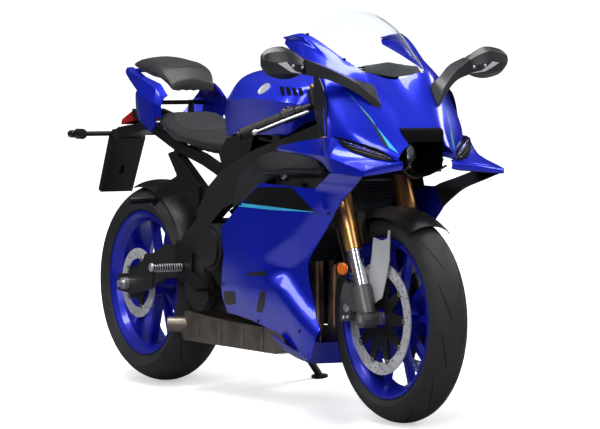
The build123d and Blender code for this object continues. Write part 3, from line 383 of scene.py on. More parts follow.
def cut_plate(loops, y_low, y_high, edge):
    """Flat plate between (x, z) loops, holes left out, with its edges rounded."""
    flat = bpy.data.curves.new("flat", "CURVE")
    flat.dimensions = "2D"
    flat.fill_mode = "BOTH"
    flat.extrude = (y_high - y_low) / 2 - edge
    flat.bevel_depth = edge
    for loop in loops:
        spline = flat.splines.new("POLY")
        spline.points.add(len(loop) - 1)
        for point, (x, z) in zip(spline.points, loop):
            point.co = (x, z, 0, 1)
        spline.use_cyclic_u = True
    holder = add_object("flat", flat)
    mesh = bpy.data.meshes.new_from_object(holder)
    verts = [Vector((v.co.x, (y_low + y_high) / 2 - v.co.z, v.co.y)) for v in mesh.vertices]
    faces = [tuple(p.vertices) for p in mesh.polygons]
    bpy.data.objects.remove(holder)
    bpy.data.curves.remove(flat)
    bpy.data.meshes.remove(mesh)
    return verts, faces


def patch(outline, cell):
    """Outline in a plane (a, b) as small faces, cut on a square grid."""
    shape = bmesh.new()
    face = shape.faces.new([shape.verts.new((a, b, 0)) for a, b in outline])
    for axis in (0, 1):
        low = min(p[axis] for p in outline)
        high = max(p[axis] for p in outline)
        normal = [int(axis == n) for n in range(3)]
        for k in range(1, int((high - low) / cell) + 1):
            place = [(low + k * cell) * n for n in normal]
            bmesh.ops.bisect_plane(shape, geom=shape.verts[:] + shape.edges[:] + shape.faces[:], dist=1e-5,
                                   plane_co=place, plane_no=normal)
    shape.verts.index_update()
    verts = [(v.co.x, v.co.y) for v in shape.verts]
    faces = [tuple(v.index for v in f.verts) for f in shape.faces]
    shape.free()
    return verts, faces


def tree_of(part):
    """Search tree over a part's faces."""
    return BVHTree.FromPolygons(*part)


CENTRE = (300, 214.5)  # middle of the photograph, in its points
FOCAL = 3324  # the lens's focal length in those points


def land(u, v, tree):
    """Where the camera's ray through a picture point meets a surface, and the normal there."""
    way = (EYE.to_3x3() @ Vector(((u - CENTRE[0]) / FOCAL, (CENTRE[1] - v) / FOCAL, -1))).normalized()
    spot, normal = tree.ray_cast(EYE.translation, way)[:2]
    if spot is None:
        return None, None
    if normal.dot(way) > 0:
        normal = -normal
    return spot, normal


def landed(points, tree):
    """(spot, normal) of the picture points whose rays meet the surface."""
    hits = [land(u, v, tree) for u, v in points]
    return [hit for hit in hits if hit[0]]


def decal(outline, tree, lift, cell):
    """Film laid on a surface, with its outline where the camera sees it."""
    flat, faces = patch(outline, cell)
    hits = [land(u, v, tree) for u, v in flat]
    kept = [face for face in faces if all(hits[k][0] for k in face)]
    used = sorted({k for face in kept for k in face})
    place = {k: n for n, k in enumerate(used)}
    return [hits[k][0] + hits[k][1] * lift for k in used], [tuple(place[k] for k in face) for face in kept]


def film(name, marks, tree, lift, cell, finish, slot=None):
    """Piece of one or more decals, on both sides of the machine."""
    part = both(*[decal(mark, tree, lift, cell) for mark in marks])
    piece(name, part, finish, weld=False, slot=slot)


def bolt(spot, normal, radius, height, sides=16):
    """Domed screw head with a socket."""
    return lathe(spot, normal, [
        (0, height * 0.3), (radius * 0.42, height * 0.3), (radius * 0.48, height), (radius * 0.8, height),
        (radius, height * 0.55), (radius, -2)], sides)


# ---- Cowl, screen and intake
cowl_rows = whole([
    (1060, (0, 1094), (159, 1094), (162, 1087), (164, 1081), (166, 1074)),
    (1175, (0, 1098), (158, 1099), (172, 1076), (181, 1050), (185, 1028)),
    (1321, (0, 1026), (122, 1027), (162, 1004), (191, 980), (200, 962)),
    (1385, (0, 972), (103, 991), (160, 948), (208, 884), (222, 812)),
    (1455, (0, 908), (85, 910), (137, 876), (180, 832), (189, 796)),
    (1521, (0, 841), (68, 838), (101, 810), (121, 786), (127, 764)),
    (1562, (0, 795), (60, 788), (80, 776), (91, 762), (94, 748))])
cowl_grid = weave(cowl_rows, 5, 6)
# Its middle columns are open behind the screen and in front, at the intake.
shell = cloth_of(cowl_grid, lambda i, j: not (15 <= j < 25 and (i < 18 or i >= 31)))
cowl_tree = tree_of(shell)
piece("cowl_skin", shell, paint, replaces="cowl", thick=3.5, sharp=40)

trim = [[(1296, 197, 986), (1258, 186, 990)], [(1341, 208, 954), (1262, 188, 950)],
    [(1371, 216, 915), (1266, 190, 890)], [(1388, 223, 818), (1320, 202, 812)]]
piece("cowl_trim", sheets(trim, 3, 5), plastic, thick=2.5)

glass_rows = whole([
    (1168, (0, 1172), (62, 1163), (120, 1133), (152, 1106)),
    (1232, (0, 1143), (62, 1134), (115, 1106), (145, 1071)),
    (1321, (0, 1083), (60, 1073), (100, 1049), (122, 1030)),
    (1384, (0, 982), (50, 988), (90, 994), (103, 995))])
glass = cloth_of(weave(glass_rows, 6, 8))
piece("screen_glass", glass, clear, replaces="screen", slot="clear_screen", thick=3, sharp=60)
band = [[(1386, y, 979 + abs(y) * 0.12), (1366, y, 1003 + abs(y) * 0.06),
    (1352, y * 0.93, 1021 - abs(y) * 0.12)] for y in (-92, -60, -30, 0, 30, 60, 92)]
piece("screen_band", cloth_of(weave(band, 3, 3)), gloss, slot="", thick=1.2)
heads = [bolt((x, side * y, z), (0.35, side * 0.7, 0.6), 5.5, 3)
         for x, y, z in ((1176, 160, 1100), (1232, 149, 1072), (1321, 125, 1029)) for side in SIDES]
piece("screen_bolts", heads, gloss, slot="black_metal")

film("cowl_stripe", [[(348, 93.3), (353.5, 98.5), (373, 123), (399, 154), (389.2, 148), (370.5, 117.5)]],
     cowl_tree, 2.5, 1.4, cyan)
film("cowl_shadow_stripe", [[(355.5, 102.8), (369.8, 117.7), (388.7, 147.6), (384.3, 146), (370.8, 122.5)]],
     cowl_tree, 2.5, 1.4, plastic)

slit = weave([[(1372, 214, 812), (1376, 207, 797), (1380, 203, 783)],
    [(1455, 183, 797), (1456, 177, 785), (1457, 174, 772)],
    [(1521, 122, 765), (1521, 117, 757), (1521, 114, 750)],
    [(1560, 93, 749), (1560, 90, 745), (1560, 88, 741)]], 3, 6)
piece("lamp_housing", both(cloth_of(slit)), gloss, replaces="nose_lamps", thick=2)
blades = []
for part in (0.12, 0.38, 0.64, 0.88):
    line = [row[0].lerp(row[-1], part) + Vector((4, 5, 0)) for row in slit[:16:3]]
    blades.append(tube(line, [1.6] * (len(line) - 1) + [0.7], 6))
piece("lamp_blades", both(*blades), chrome, slot="lamp_lens")

# Loops of the duct: x, share of the width, (y, z) points.
duct = weave([[(x, -y * share, z) for y, z in (*loop, loop[0])] for x, share, *loop in (
    (1404, 0.9, (-60, 818), (60, 818), (54, 722), (0, 706), (-54, 722)),
    (1524, 1, (-67, 838), (67, 838), (57, 724), (0, 702), (-57, 724)),
    (1550, 1, (-62, 800), (62, 800), (57, 728), (0, 704), (-57, 728)))], 3, 4, (1, 2, 4))
piece("intake_duct", cloth_of(duct), matt, replaces="intake", thick=3)
lip = [(1566, -60, 733), (1524, -52, 716), (1500, 0, 699), (1524, 52, 716), (1566, 60, 733)]
piece("intake_lip", tube(lip, [5, 6, 7, 6, 5], 8, 0.6, 6), plastic)
eye = (1442, 0, 768)
piece("lamp_projector", join(
    lathe(eye, (1, 0, 0), [(0, -30), (40, -30), (44, -6), (44, 4), (38, 8), (35, 4), (33, -4), (0, -4)], 6),
    lathe(eye, (1, 0, 0), [(46, -32), (52, -32), (52, -10), (47, -6), (46, -10), (46, -32)], 6)), gloss,
    replaces="headlight", bevel=1.2)
piece("lamp_lens", lathe(eye, (1, 0, 0), [(0, 26), (12, 24), (22, 18), (29, 8), (31, -3), (0, -4)], 40), lens,
    slot="lamp_lens")
piece("lamp_bars", both(tube([(1500, 58, 820), (1470, 40, 806), (1466, 26, 800)], 2.5, 6),
                             tube([(1500, 52, 730), (1472, 36, 738), (1466, 24, 742)], 2.5, 6)), gloss)

# ---- Winglets and side ducts
wing_rows = stations([
    (1078, (196, 780), (203, 774), (200, 766)), (1222, (200, 797), (214, 765), (206, 757)),
    (1340, (212, 808), (228, 761), (218, 745)), (1413, (222, 812), (240, 758), (232, 722)),
    (1444, (216, 806), (246, 756), (240, 714)), (1540, (106, 752), (238, 736), (236, 711)),
    (1566, (86, 745), (236, 730), (234, 709)), (1600, (212, 727), (232, 723), (231, 709))])
wing = cloth_of(weave(wing_rows, 5, 4, (1,), (4,)))
edge = [[(1562, 82, 745), (1564, 82, 734), (1560, 82, 724)],
    [(1584, 160, 737), (1586, 160, 726), (1581, 160, 716)],
    [(1600, 232, 724), (1602, 232, 716), (1598, 232, 709)]]
under = [[(1560, 84, 724), (1500, 150, 716), (1450, 236, 712)],
    [(1598, 230, 709), (1560, 233, 709), (1500, 238, 711)]]
piece("wing_skin", both(wing), paint, replaces="winglets", thick=3, sharp=24)
piece("wing_edge", sheets(edge, 3, 4), paint, thick=3)
piece("wing_underside", sheets(under, 3, 4), plastic, thick=2)
strut = weave([[(1332, 198, 608), (1372, 179, 608)], [(1312, 201, 640), (1410, 185, 634)],
    [(1297, 204, 665), (1468, 191, 665)], [(1372, 224, 690), (1536, 211, 690)],
    [(1440, 244, 713), (1597, 231, 713)]], 4, 4)
inner = [[Vector((p.x, p.y - 2.6, p.z)) for p in row] for row in strut]
piece("strut_outer", both(cloth_of(strut)), paint, thick=2)
piece("strut_inner", both(cloth_of(inner)), plastic, thick=2)

cover_rows = stations([(780, (158, 680), (171, 642), (182, 590)), (797, (160, 684), (176, 640), (186, 592)),
    (860, (172, 716), (184, 665), (191, 612)), (938, (186, 738), (181, 704), (184, 655)),
    (1010, (195, 758), (176, 706), (174, 690)), (1120, (203, 764), (172, 706), (168, 698)),
    (1230, (209, 757), (172, 708), (168, 702)), (1290, (211, 751), (176, 718), (172, 708)),
    (1318, (214, 742), (206, 726), (200, 716))])
piece("side_duct_skin", sheets(cover_rows, 5, 4, (1,)), dark_paint, replaces="side_covers", thick=3, sharp=26)
lower_lip = [[(969, 181, 698), (969, 184, 693)], [(1100, 184, 707), (1100, 187, 702)],
    [(1230, 184, 710), (1230, 187, 705)], [(1322, 200, 712), (1322, 203, 706)]]
piece("duct_lip", sheets(lower_lip, 2, 5), dark_paint, thick=3)
back = [[(975, 148, 700), (975, 150, 655)], [(1100, 146, 706), (1100, 152, 655)],
    [(1300, 150, 710), (1300, 160, 655)]]
piece("duct_backing", sheets(back, 2, 4), plastic, thick=2)
heads = [bolt((1040, side * 156, 690), (0.1, side, 0.1), 12, 6, 6) for side in SIDES]
piece("duct_bolts", heads, steel)

slit_tree = tree_of(join(shell, flip(wing)))
slit_mark = [(333.6, 136.2), (352, 140.6), (376, 148.2), (386, 153), (398.6, 161), (390, 162.4), (372, 159.4),
             (352, 152.4), (342, 146.2)]
film("lamp_slits", [slit_mark], slit_tree, 4, 1.6, matt, "black_plastic")
bars = []
for u0, v0, u1, v1 in (
        (344, 141.8, 388, 156.6), (347, 146, 384, 157.6), (352, 150.2, 386, 160.4), (362, 143.4, 384, 150.8)):
    marks = [(u0 + (u1 - u0) * k / 8, v0 + (v1 - v0) * k / 8) for k in range(9)]
    row = [spot + normal * 4.6 for spot, normal in landed(marks, slit_tree)]
    bars.append(tube(row, [0.5, *[1.1] * (len(row) - 2), 0.5], 6, 1, 2))
piece("lamp_slit_bars", both(*bars), chrome)

# ---- Side fairings
# Sections of the left fairing, x and then (half width, z) from the top down, and the
# (z, x) line of the crease that its skin turns in from.
SIDE = [
    (660, (132, 770), (150, 690), (158, 600), (176, 540), (178, 430), (160, 330), (132, 262)),
    (840, (140, 775), (168, 720), (184, 640), (194, 585), (190, 440), (182, 330), (148, 250)),
    (1040, (150, 785), (182, 750), (196, 690), (200, 630), (194, 500), (190, 330), (158, 214)),
    (1180, (160, 790), (186, 755), (198, 700), (201, 640), (197, 520), (195, 310), (180, 180)),
    (1440, (160, 790), (186, 755), (198, 700), (201, 640), (199, 520), (196, 310), (188, 180))]
CREASE = [(209, 1290), (275, 1250), (299, 1185), (329, 1130), (390, 1050), (412, 975), (427, 975),
    (452, 1034), (494, 1136), (592, 1283), (640, 1345), (720, 1400)]


def between(table, value):
    """Piecewise straight look-up in (value, result) rows."""
    if value <= table[0][0]:
        return table[0][1]
    for (a, low), (b, high) in zip(table, table[1:]):
        if value <= b:
            return low + (high - low) * (value - a) / (b - a)
    return table[-1][1]


def side_raw(x, z):
    return between([(s, between([(h, y) for y, h in reversed(row)], z)) for s, *row in SIDE], x)


def side_y(x, z):
    """Half width of the fairing: smooth skin that turns in ahead of its crease."""
    soft = sum(side_raw(x + dx, z + dz) for dx in (-34, 0, 34) for dz in (-22, 0, 22)) / 9
    fold = sum(max(0, min(x + dx - between(CREASE, z + dz), 78)) for dx in (-12, 0, 12)
        for dz in (-20, 0, 20)) / 9
    return soft - 0.33 * fold


side_outline = [(709, 529), (713, 490), (725, 444), (706, 400), (684, 350), (672, 322), (668, 296),
    (672, 268), (760, 264), (837, 258), (996, 235), (1119, 201), (1233, 173), (1262, 222), (1284, 262),
    (1264, 284), (1250, 303), (1228, 336), (1212, 367), (1200, 394), (1196, 420), (1200, 450), (1214, 468),
    (1236, 487), (1272, 518), (1313, 553), (1348, 584), (1374, 612), (1334, 612), (1296, 665), (1283, 663),
    (959, 669), (838, 602)]
flat, faces = patch(side_outline, 9)
skin_part = [Vector((x, side_y(x, z), z)) for x, z in flat], faces
side_tree = tree_of(flip(skin_part))
belly = weave([[(x, y, z) for x, z in row] for y, *row in (
    (0.3, (965, 158), (1030, 148), (1088, 144), (1102, 206)),
    (60, (965, 163), (1035, 151), (1100, 146), (1116, 208)),
    (110, (968, 172), (1048, 156), (1120, 150), (1136, 212)),
    (152, (985, 202), (1070, 178), (1150, 160), (1172, 226)),
    (184, (1010, 228), (1120, 198), (1218, 174), (1252, 240)))], 4, 4, (2,))
for side, name in ((1, "fairing_left"), (-1, "fairing_right")):
    skin_side = join(skin_part, cloth_of(belly))
    piece(name + "_skin", skin_side if side > 0 else flip(skin_side), paint, replaces=name, thick=3, sharp=22)

# The vents are black film laid on the fairing where it opens: painted shade standing in for the dark inside
# of the slot, the hole and the scoop.
slot_mark = [(267.3, 271.2), (261.2, 271.2), (250, 272.8), (245.5, 275.6), (266.8, 275.8)]
hole_mark = [(224.4, 291.3), (235.2, 291), (236.4, 303), (230.6, 305), (224.9, 303.2)]
scoop_mark = [(260.6, 292.2), (265.7, 290.4), (265.2, 303), (262.6, 312.5), (256.8, 311.4), (258.7, 300.5)]
film("fairing_vents", [slot_mark, hole_mark, scoop_mark], side_tree, 2.2, 3, plastic)
film("fairing_wedge", [[(241, 202.9), (258.6, 187), (292, 187.4), (316, 212)]],
     side_tree, 2, 3, gloss)
film("fairing_stripe", [[(236.4, 206.2), (239.5, 202.8), (313.5, 211.6), (315.4, 212.2), (276.5, 210.3)]],
     side_tree, 2.4, 3, cyan)
film("fairing_line", [[(315, 212.2), (326.2, 214.8), (315.6, 213.4)]], side_tree, 2.4, 3, dark_paint)
marks = ((220.4, 231.6), (226.1, 311.7), (258.7, 320.9), (299.9, 331.1), (328.8, 213.4))
heads = [bolt(spot + normal * 1.5, normal, 5.2, 2.6) for spot, normal in landed(marks, side_tree)]
piece("fairing_bolts", both(*heads), black_metal)

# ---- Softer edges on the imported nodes
CREASE_ANGLE = 28  # edges sharper than this, in degrees, stay edges


def smooth_group():
    """Node group that shades a mesh smooth but for its sharp edges."""
    group = bpy.data.node_groups.new("smooth_by_angle", "GeometryNodeTree")
    for way in ("INPUT", "OUTPUT"):
        group.interface.new_socket("Geometry", in_out=way, socket_type="NodeSocketGeometry")
    taken, given, faces, edges, turn, sharp = [group.nodes.new(kind) for kind in (
        "NodeGroupInput", "NodeGroupOutput", "GeometryNodeSetShadeSmooth", "GeometryNodeSetShadeSmooth",
        "GeometryNodeInputMeshEdgeAngle", "ShaderNodeMath")]
    edges.domain = "EDGE"
    put(edges, Shade_Smooth=False)
    sharp.operation = "GREATER_THAN"
    sharp.inputs[1].default_value = radians(CREASE_ANGLE)
    wire(group, (turn, "Unsigned Angle", sharp, 0), (sharp, "Value", edges, "Selection"),
         (taken, "Geometry", faces, "Geometry"), (faces, "Geometry", edges, "Geometry"),
         (edges, "Geometry", given, "Geometry"))
    return group


SMOOTH = smooth_group()
for width, names in (
        (14, "silencer"), (5, "tail_fairing frame_left frame_right engine"), (4, "frame_head swingarm"),
        (3.5, "engine_covers front_calipers"), (3, "fork_feet rear_caliper dash tail_light"),
        (2.5, "subframe plate_holder yokes front_rim rear_rim"),
        (1.5, "rearsets side_stand passenger_pegs handlebars"), (1.2, "rear_hugger fork_guards fuel_cap")):
    for name in names.split():
        flat = nodes[name].modifiers.new("flat", "DECIMATE")
        flat.decimate_type = "DISSOLVE"
        flat.angle_limit = radians(1.5)
        round_edges(nodes[name], width, CREASE_ANGLE)
        nodes[name].modifiers.new("shade", "NODES").node_group = SMOOTH

# ---- Tank and seats
tank_rows = whole([
    (606, (0, 962), (58, 952), (104, 906), (112, 850), (104, 797)),
    (640, (0, 984), (76, 968), (124, 908), (124, 856), (112, 800)),
    (700, (0, 999), (92, 978), (146, 906), (134, 858), (116, 806)),
    (780, (0, 1003), (100, 977), (160, 910), (142, 864), (114, 806)),
    (860, (0, 1001), (104, 973), (166, 914), (146, 868), (112, 806)),
    (930, (0, 993), (102, 968), (163, 912), (142, 866), (111, 806)),
    (990, (0, 983), (98, 961), (150, 907), (130, 862), (108, 812)),
    (1040, (0, 962), (86, 950), (118, 900), (104, 872), (80, 846)),
    (1078, (0, 948), (46, 940), (58, 892), (50, 870), (40, 852))])
tank_grid = weave(tank_rows, 6, 6, (2, 6))
tank_skin = cloth_of(tank_grid)
tank_tree = tree_of(tank_skin)
for row in (tank_grid[0], tank_grid[-1]):
    tank_skin = join(tank_skin, cloth_of([row, [(row[0] + row[-1]) / 2] * len(row)]))
CAP_X = 770  # the fuel cap's centre
ring = lathe((CAP_X, 0, 985), (0, 0, 1), [(39, -14), (39, 19), (37.5, 22), (34.6, 22), (34.4, 8)], 64)
ears = join(*[prism([(721, 990), (733, 990), (733, 1014), (730, 1017), (724, 1017), (721, 1014)], low, high)
              for low, high in ((-16, -10.4), (10.4, 16))])
piece("tank_skin", tank_skin, paint, replaces="tank", sharp=34)
piece("filler_ring", join(ring, ears), black_metal)
heads = [bolt((CAP_X + 37 * cos(a), 37 * sin(a), 1006.6), (0, 0, 1), 1.5, 0.8, 8)
         for a in (0.5, 1.57, 2.6, 3.7, 4.71, 5.8)]
piece("filler_bolts", heads, steel)
spot, normal = land(264, 89, tank_tree)
disc = lathe(spot, normal, [(0, 1.2), (17, 1.2), (18, 2.4), (21.5, 2.4), (22, -2)], 40)
piece("tank_disc", both(disc), alloy)
# The slots are deep black film laid on the tank, not openings: painted shade standing in for their dark
# insides.
slots = []
for k in range(4):
    u = 279.4 + 6.1 * k
    slots.append([(u, 86.6 + 0.5 * k), (u + 4.2, 86.8 + 0.5 * k), (u + 6, 95.4), (u + 2, 95.4)])
film("tank_slots", slots, tank_tree, 1, 1, matt)


def puff(name, part, node, push):
    """Upholstered pad: remeshed, swollen as cloth under pressure by at most push metres, and smoothed."""
    made = piece(name, part, vinyl, replaces=node, slot="seat_cover", sharp=180)
    remesh = made.modifiers.new("remesh", "REMESH")
    remesh.mode = "VOXEL"
    remesh.voxel_size = push
    relax = made.modifiers.new("relax", "SMOOTH")
    relax.iterations = 4
    graph = bpy.context.evaluated_depsgraph_get()
    rest = bpy.data.meshes.new_from_object(made.evaluated_get(graph))
    made.modifiers.clear()
    made.data = rest
    cloth = made.modifiers.new("cloth", "CLOTH")
    cloth.settings.use_pressure = True
    cloth.settings.uniform_pressure_force = 4
    cloth.settings.effector_weights.gravity = 0
    for step in range(1, 21):
        scene.frame_set(step)
    graph = bpy.context.evaluated_depsgraph_get()
    swollen = bpy.data.meshes.new_from_object(made.evaluated_get(graph))
    made.modifiers.clear()
    for vert, far in zip(rest.vertices, swollen.vertices):
        move = far.co - vert.co
        vert.co += move.normalized() * min(move.length, push) if move.length else move
    scene.frame_set(1)
    for face in rest.polygons:
        face.use_smooth = True
    finer = made.modifiers.new("finer", "SUBSURF")
    finer.levels = finer.render_levels = 1


def pad_of(table):
    """Closed symmetric body: (x, (0, z top), (y, z), ..., (y, z low)) rows, creased round its lower edge."""
    rows = [row + [row[0]] for row in whole(table)]
    return capped(weave(rows, 3, 4, (6,)))


rider = pad_of([
    (182, (0, 871), (84, 869), (112, 850), (114, 832)), (270, (0, 832), (106, 826), (126, 806), (116, 784)),
    (360, (0, 812), (108, 806), (130, 784), (118, 766)), (450, (0, 810), (102, 802), (126, 776), (112, 752)),
    (540, (0, 820), (78, 812), (106, 776), (100, 744)), (596, (0, 838), (50, 830), (80, 788), (84, 748))])
puff("rider_pad", rider, "rider_seat", 0.006)
pillion = pad_of([(-102, (0, 1020), (40, 1013), (54, 1002), (42, 1000)),
    (-30, (0, 1030), (64, 1018), (80, 1000), (64, 990)), (60, (0, 1030), (80, 1014), (98, 992), (82, 978)),
    (150, (0, 1008), (82, 993), (98, 972), (86, 962)), (200, (0, 962), (64, 948), (78, 932), (72, 922))])
puff("pillion_pad", pillion, "pillion_seat", 0.005)

# ---- Mirrors
# Sections of a mirror's head: y, rear and front x, low and high z.
mirror_table = ((262, 1331, 1350, 1000, 1014), (276, 1322, 1362, 990, 1034), (300, 1309, 1370, 979, 1051),
    (338, 1306, 1373, 974, 1067), (384, 1318, 1367, 984, 1062), (405, 1334, 1360, 1004, 1050),
    (412, 1344, 1354, 1020, 1038))
shells = []
for y, rear, front, low, high in mirror_table:
    mid_x, mid_z, half_x, half_z = (rear + front) / 2, (low + high) / 2, (front - rear) / 2, (high - low) / 2
    loop = []
    for k in range(0, 17, 2):
        a = 2 * pi * (k % 16) / 16
        c, s = cos(a), sin(a)
        loop.append((mid_x + half_x * copysign(abs(c) ** 1.05, c), y,
            mid_z + half_z * copysign(abs(s) ** 1.1, s)))
    shells.append(loop)
head_part = capped(weave(shells, 1, 3))
stalk_rows = [[(x, y, z) for x, z in (*row, row[0])] for y, *row in (
    (94, (1425, 939), (1468, 881), (1470, 905), (1432, 958)),
    (150, (1390, 950), (1432, 934), (1432, 962), (1392, 982)),
    (210, (1348, 980), (1394, 969), (1394, 1000), (1350, 1014)),
    (274, (1326, 990), (1364, 986), (1364, 1030), (1328, 1036)))]
stalk_part = capped(weave(stalk_rows, 1, 5))
piece("mirror_shells", both(head_part, stalk_part), dark_paint, replaces="mirrors", slot="black_plastic",
    sharp=24, bevel=1.6)
head_tree = tree_of(flip(head_part))
film("mirror_insets", [[(277.5, 63), (286.5, 62), (295, 71), (308.5, 75), (291, 72)]],
     head_tree, 1, 1.2, light_plastic, "grey_plastic")
dots = [lathe(spot, normal, [(0, 2.4), (3.4, 2.2), (4.6, 1.4), (5.2, 0.2), (5.2, -2)], 16)
        for spot, normal in landed(((293, 66), (302.5, 67.5), (310.5, 69)), head_tree)]
piece("mirror_lamps", both(*dots), steel, slot="lamp_lens")
glass_face = [[(rear - 0.6, y, low + (high - low) * t) for t in (0.16, 0.5, 0.84)]
              for y, rear, _, low, high in mirror_table[1:6]]
piece("mirror_glass", sheets(glass_face, 3, 3), chrome, thick=1)

# ---- Covers, radiator, pegs, silencer and air box
inner = [(566, 742), (612, 790), (700, 806), (780, 806), (742, 720), (690, 690), (640, 668), (588, 700)]
piece("under_tank_covers", both(prism(inner, 108, 111.5)), plastic, bevel=1)
head_cover = [(640, 548), (760, 556), (846, 602), (930, 690), (985, 742), (958, 752), (860, 668), (700, 606),
    (610, 570)]
piece("cylinder_covers", both(prism(head_cover, 97, 101)), plastic, bevel=1)
core_up, core_ahead = Vector((0.2079, 0, 0.9781)), Vector((0.9781, 0, -0.2079))
half = Vector((0, 144, 0))
fins = []
for k in range(33):
    mid = Vector((1137, 0, 560)) + core_up * (7 * k - 112) + core_ahead * 1.2
    fins.append(tube([mid - half, mid + half], 1.5, 6, 1, 1))
piece("radiator_fins", fins, cast_grey, slot="radiator_core", sharp=60)
ribs = []
for side in SIDES:
    way = (-0.075, side, 0.019)
    for k in range(12):
        spot = (415.4 - 0.62 * k, side * (162 + 8 * k), 390)
        ribs.append(lathe(spot, way, [(10.5, -1.8), (12.6, -1.2), (12.6, 1.2), (10.5, 1.8)], 20))
    ribs.append(lathe((407.4, side * 258, 392), way, [(10.5, -3), (12.8, -2), (12.8, 3), (11, 5), (0, 5.5)],
        20))
piece("peg_ribs", ribs, alloy)
bands = []
for x in (420, 560, 700, 820):
    top = 240 - (x - 340) * 0.05
    loop = ((-106, 170), (-106, 228), (-96, top), (96, top), (106, 228), (106, 170), (96, 157), (-96, 157),
        (-106, 170))
    bands.append(cloth_of([[Vector((x + dx, y * f, 198 + (z - 198) * f)) for y, z in loop]
                           for dx, f in ((-5, 0.99), (-4, 1.022), (4, 1.022), (5, 0.99))]))
piece("silencer_bands", bands, dull_steel, slot="exhaust_steel", sharp=50)

air_box = tube([(670, 0, 798), (760, 0, 804), (868, 0, 798)], [40, 64, 42], 20, 0.42, 6)
piece("air_box", air_box, plastic, slot="black_plastic")

# ---- Brake discs and calipers
def around(centre, radius, a, y):
    """Point at a radius and an angle round an axle."""
    return Vector((centre.x + radius * cos(a), y, centre.z + radius * sin(a)))


def rotor(centre, y, outer_r, band, carrier_r, arms, columns, root):
    """Drilled ring, open carrier, floating buttons and their pins of one disc."""
    cx, cz = centre.x, centre.z
    inner_r = outer_r - band
    holes = []
    for k in range(columns * 3):
        r = inner_r + 7 + (k % 3) * (band - 14) / 2
        a = 2 * pi * k / (columns * 3)
        holes.append(round_loop(cx + r * cos(a), cz + r * sin(a), 4.2, 10))
    ring = cut_plate([round_loop(cx, cz, outer_r, 96), round_loop(cx, cz, inner_r, 72), *holes], y - 2.2,
        y + 2.2, 0.3)
    star, buttons, pins = [], [], []
    for arm in range(arms):
        a = 2 * pi * arm / arms
        for r, turn in ((carrier_r, -0.30), (inner_r - 1, -0.085), (inner_r + 5, -0.07), (inner_r + 5, 0.07),
                        (inner_r - 1, 0.085), (carrier_r, root)):
            star.append((cx + r * cos(a + turn), cz + r * sin(a + turn)))
        spot = around(centre, inner_r + 1.5, a, y)
        buttons.append(lathe(spot, (0, 1, 0),
            [(0, -3.9), (7.4, -3.9), (8, -3.4), (8, 3.4), (7.4, 3.9), (0, 3.9)], 20))
        pins.append(lathe(spot, (0, 1, 0), [(0, -4.3), (3.4, -4.3), (3.6, -3.9), (3.6, 3.9), (3.4, 4.3),
            (0, 4.3)], 12))
    carrier = cut_plate([star, round_loop(cx, cz, 30, 48)], y - 3.4, y + 3.4, 0.6)
    return ring, carrier, join(*buttons), join(*pins)


front = [rotor(FRONT_AXLE, side * 64.5, outer_r=160, band=34, carrier_r=64, arms=10, columns=24, root=0.30)
    for side in SIDES]
rear = rotor(REAR_AXLE, -88.5, outer_r=110, band=32, carrier_r=58, arms=5, columns=18, root=0.34)
for name, discs, node in (("front", front, "front_discs"), ("rear", [rear], "rear_disc")):
    rings, carriers, buttons, pins = [join(*kind) for kind in zip(*discs)]
    piece(name + "_disc_rings", rings, disc_steel, name + "_wheel", node, "steel")
    piece(name + "_disc_carriers", carriers, black_metal, name + "_wheel")
    piece(name + "_disc_buttons", buttons, steel, name + "_wheel")
    piece(name + "_disc_pins", pins, black_metal, name + "_wheel")

heads = []
for side in SIDES:
    spots = [around(FRONT_AXLE, radius, radians(turn), side * 96)
             for radius, turn in ((158, 149), (158, 158), (128, 182), (150, 183), (134, 154), (134, 170))]
    heads += [bolt(spot, (0, side, 0), 5.5, 3.5, 12) for spot in spots[:4]]
    heads += [lathe(spot, (0, side, 0), [(0, 5), (11, 5), (13, 3.4), (14, 0), (14, -3)], 24)
        for spot in spots[4:]]
piece("caliper_bolts", heads, alloy, "steering")

# ---- Tyre grooves
def grooves(centre, outer_r, crown, count, start_y, end_y, sweep):
    """Long curved sipes laid on the tread, both ways from the middle."""
    parts = []
    for k in range(count):
        for side in SIDES:
            rows = []
            for n in range(13):
                t = n / 12
                y = start_y + (end_y - start_y) * t ** 0.9
                a = 2 * pi * (k + (0.5 if side > 0 else 0)) / count + sweep * (t ** 1.6)
                half = 3.8 * sin(pi * (0.06 + 0.9 * t)) ** 0.6
                row = []
                for edge in (-half, half):
                    yy = y + edge * 0.6
                    lift = outer_r - crown + sqrt(crown ** 2 - yy ** 2) + 0.35
                    row.append(around(centre, lift, a + edge * 0.8 / outer_r, side * yy))
                rows.append(row)
            parts.append(cloth_of(rows))
    return join(*parts)


groove = shader("groove_shadow", (0.002, 0.002, 0.002), 0.95, vary=0.3, bump=0.2)
# Radius, crown, count, first and last y and sweep of each tyre's grooves.
for (name, axle), sizes in zip(WHEELS, ((300, 60.6, 13, 6, 42, 0.42), (315, 106, 12, 10, 66, 0.46))):
    part = grooves(axle, *sizes)
    piece(name + "_tyre_grooves", part, groove, name + "_wheel", slot="tyre_rubber", weld=False)
for name, axle in WHEELS:
    turn = radians(60)
    stem = [(0, 26), (2.6, 26), (2.8, 16), (3.6, 14), (3.8, -2)]
    valve = lathe(around(axle, 196, turn, 8), -around(Vector(), 1, turn, 0), stem, 10)
    piece(name + "_valve", valve, black_metal, name + "_wheel")

# ---- Handlebar controls
BAR_DROP, BAR_SWEEP = radians(22), radians(28)


def grip_at(side, out, forward=0, rise=0):
    """Point by a handlebar, out from its fork leg."""
    foot = FRONT_AXLE + Vector((0, side * FORK_HALF, 0)) + ALONG * 659
    flat = out * cos(BAR_DROP)
    return foot + Vector((-flat * sin(BAR_SWEEP) + forward, side * flat * cos(BAR_SWEEP),
                          -out * sin(BAR_DROP) + rise))


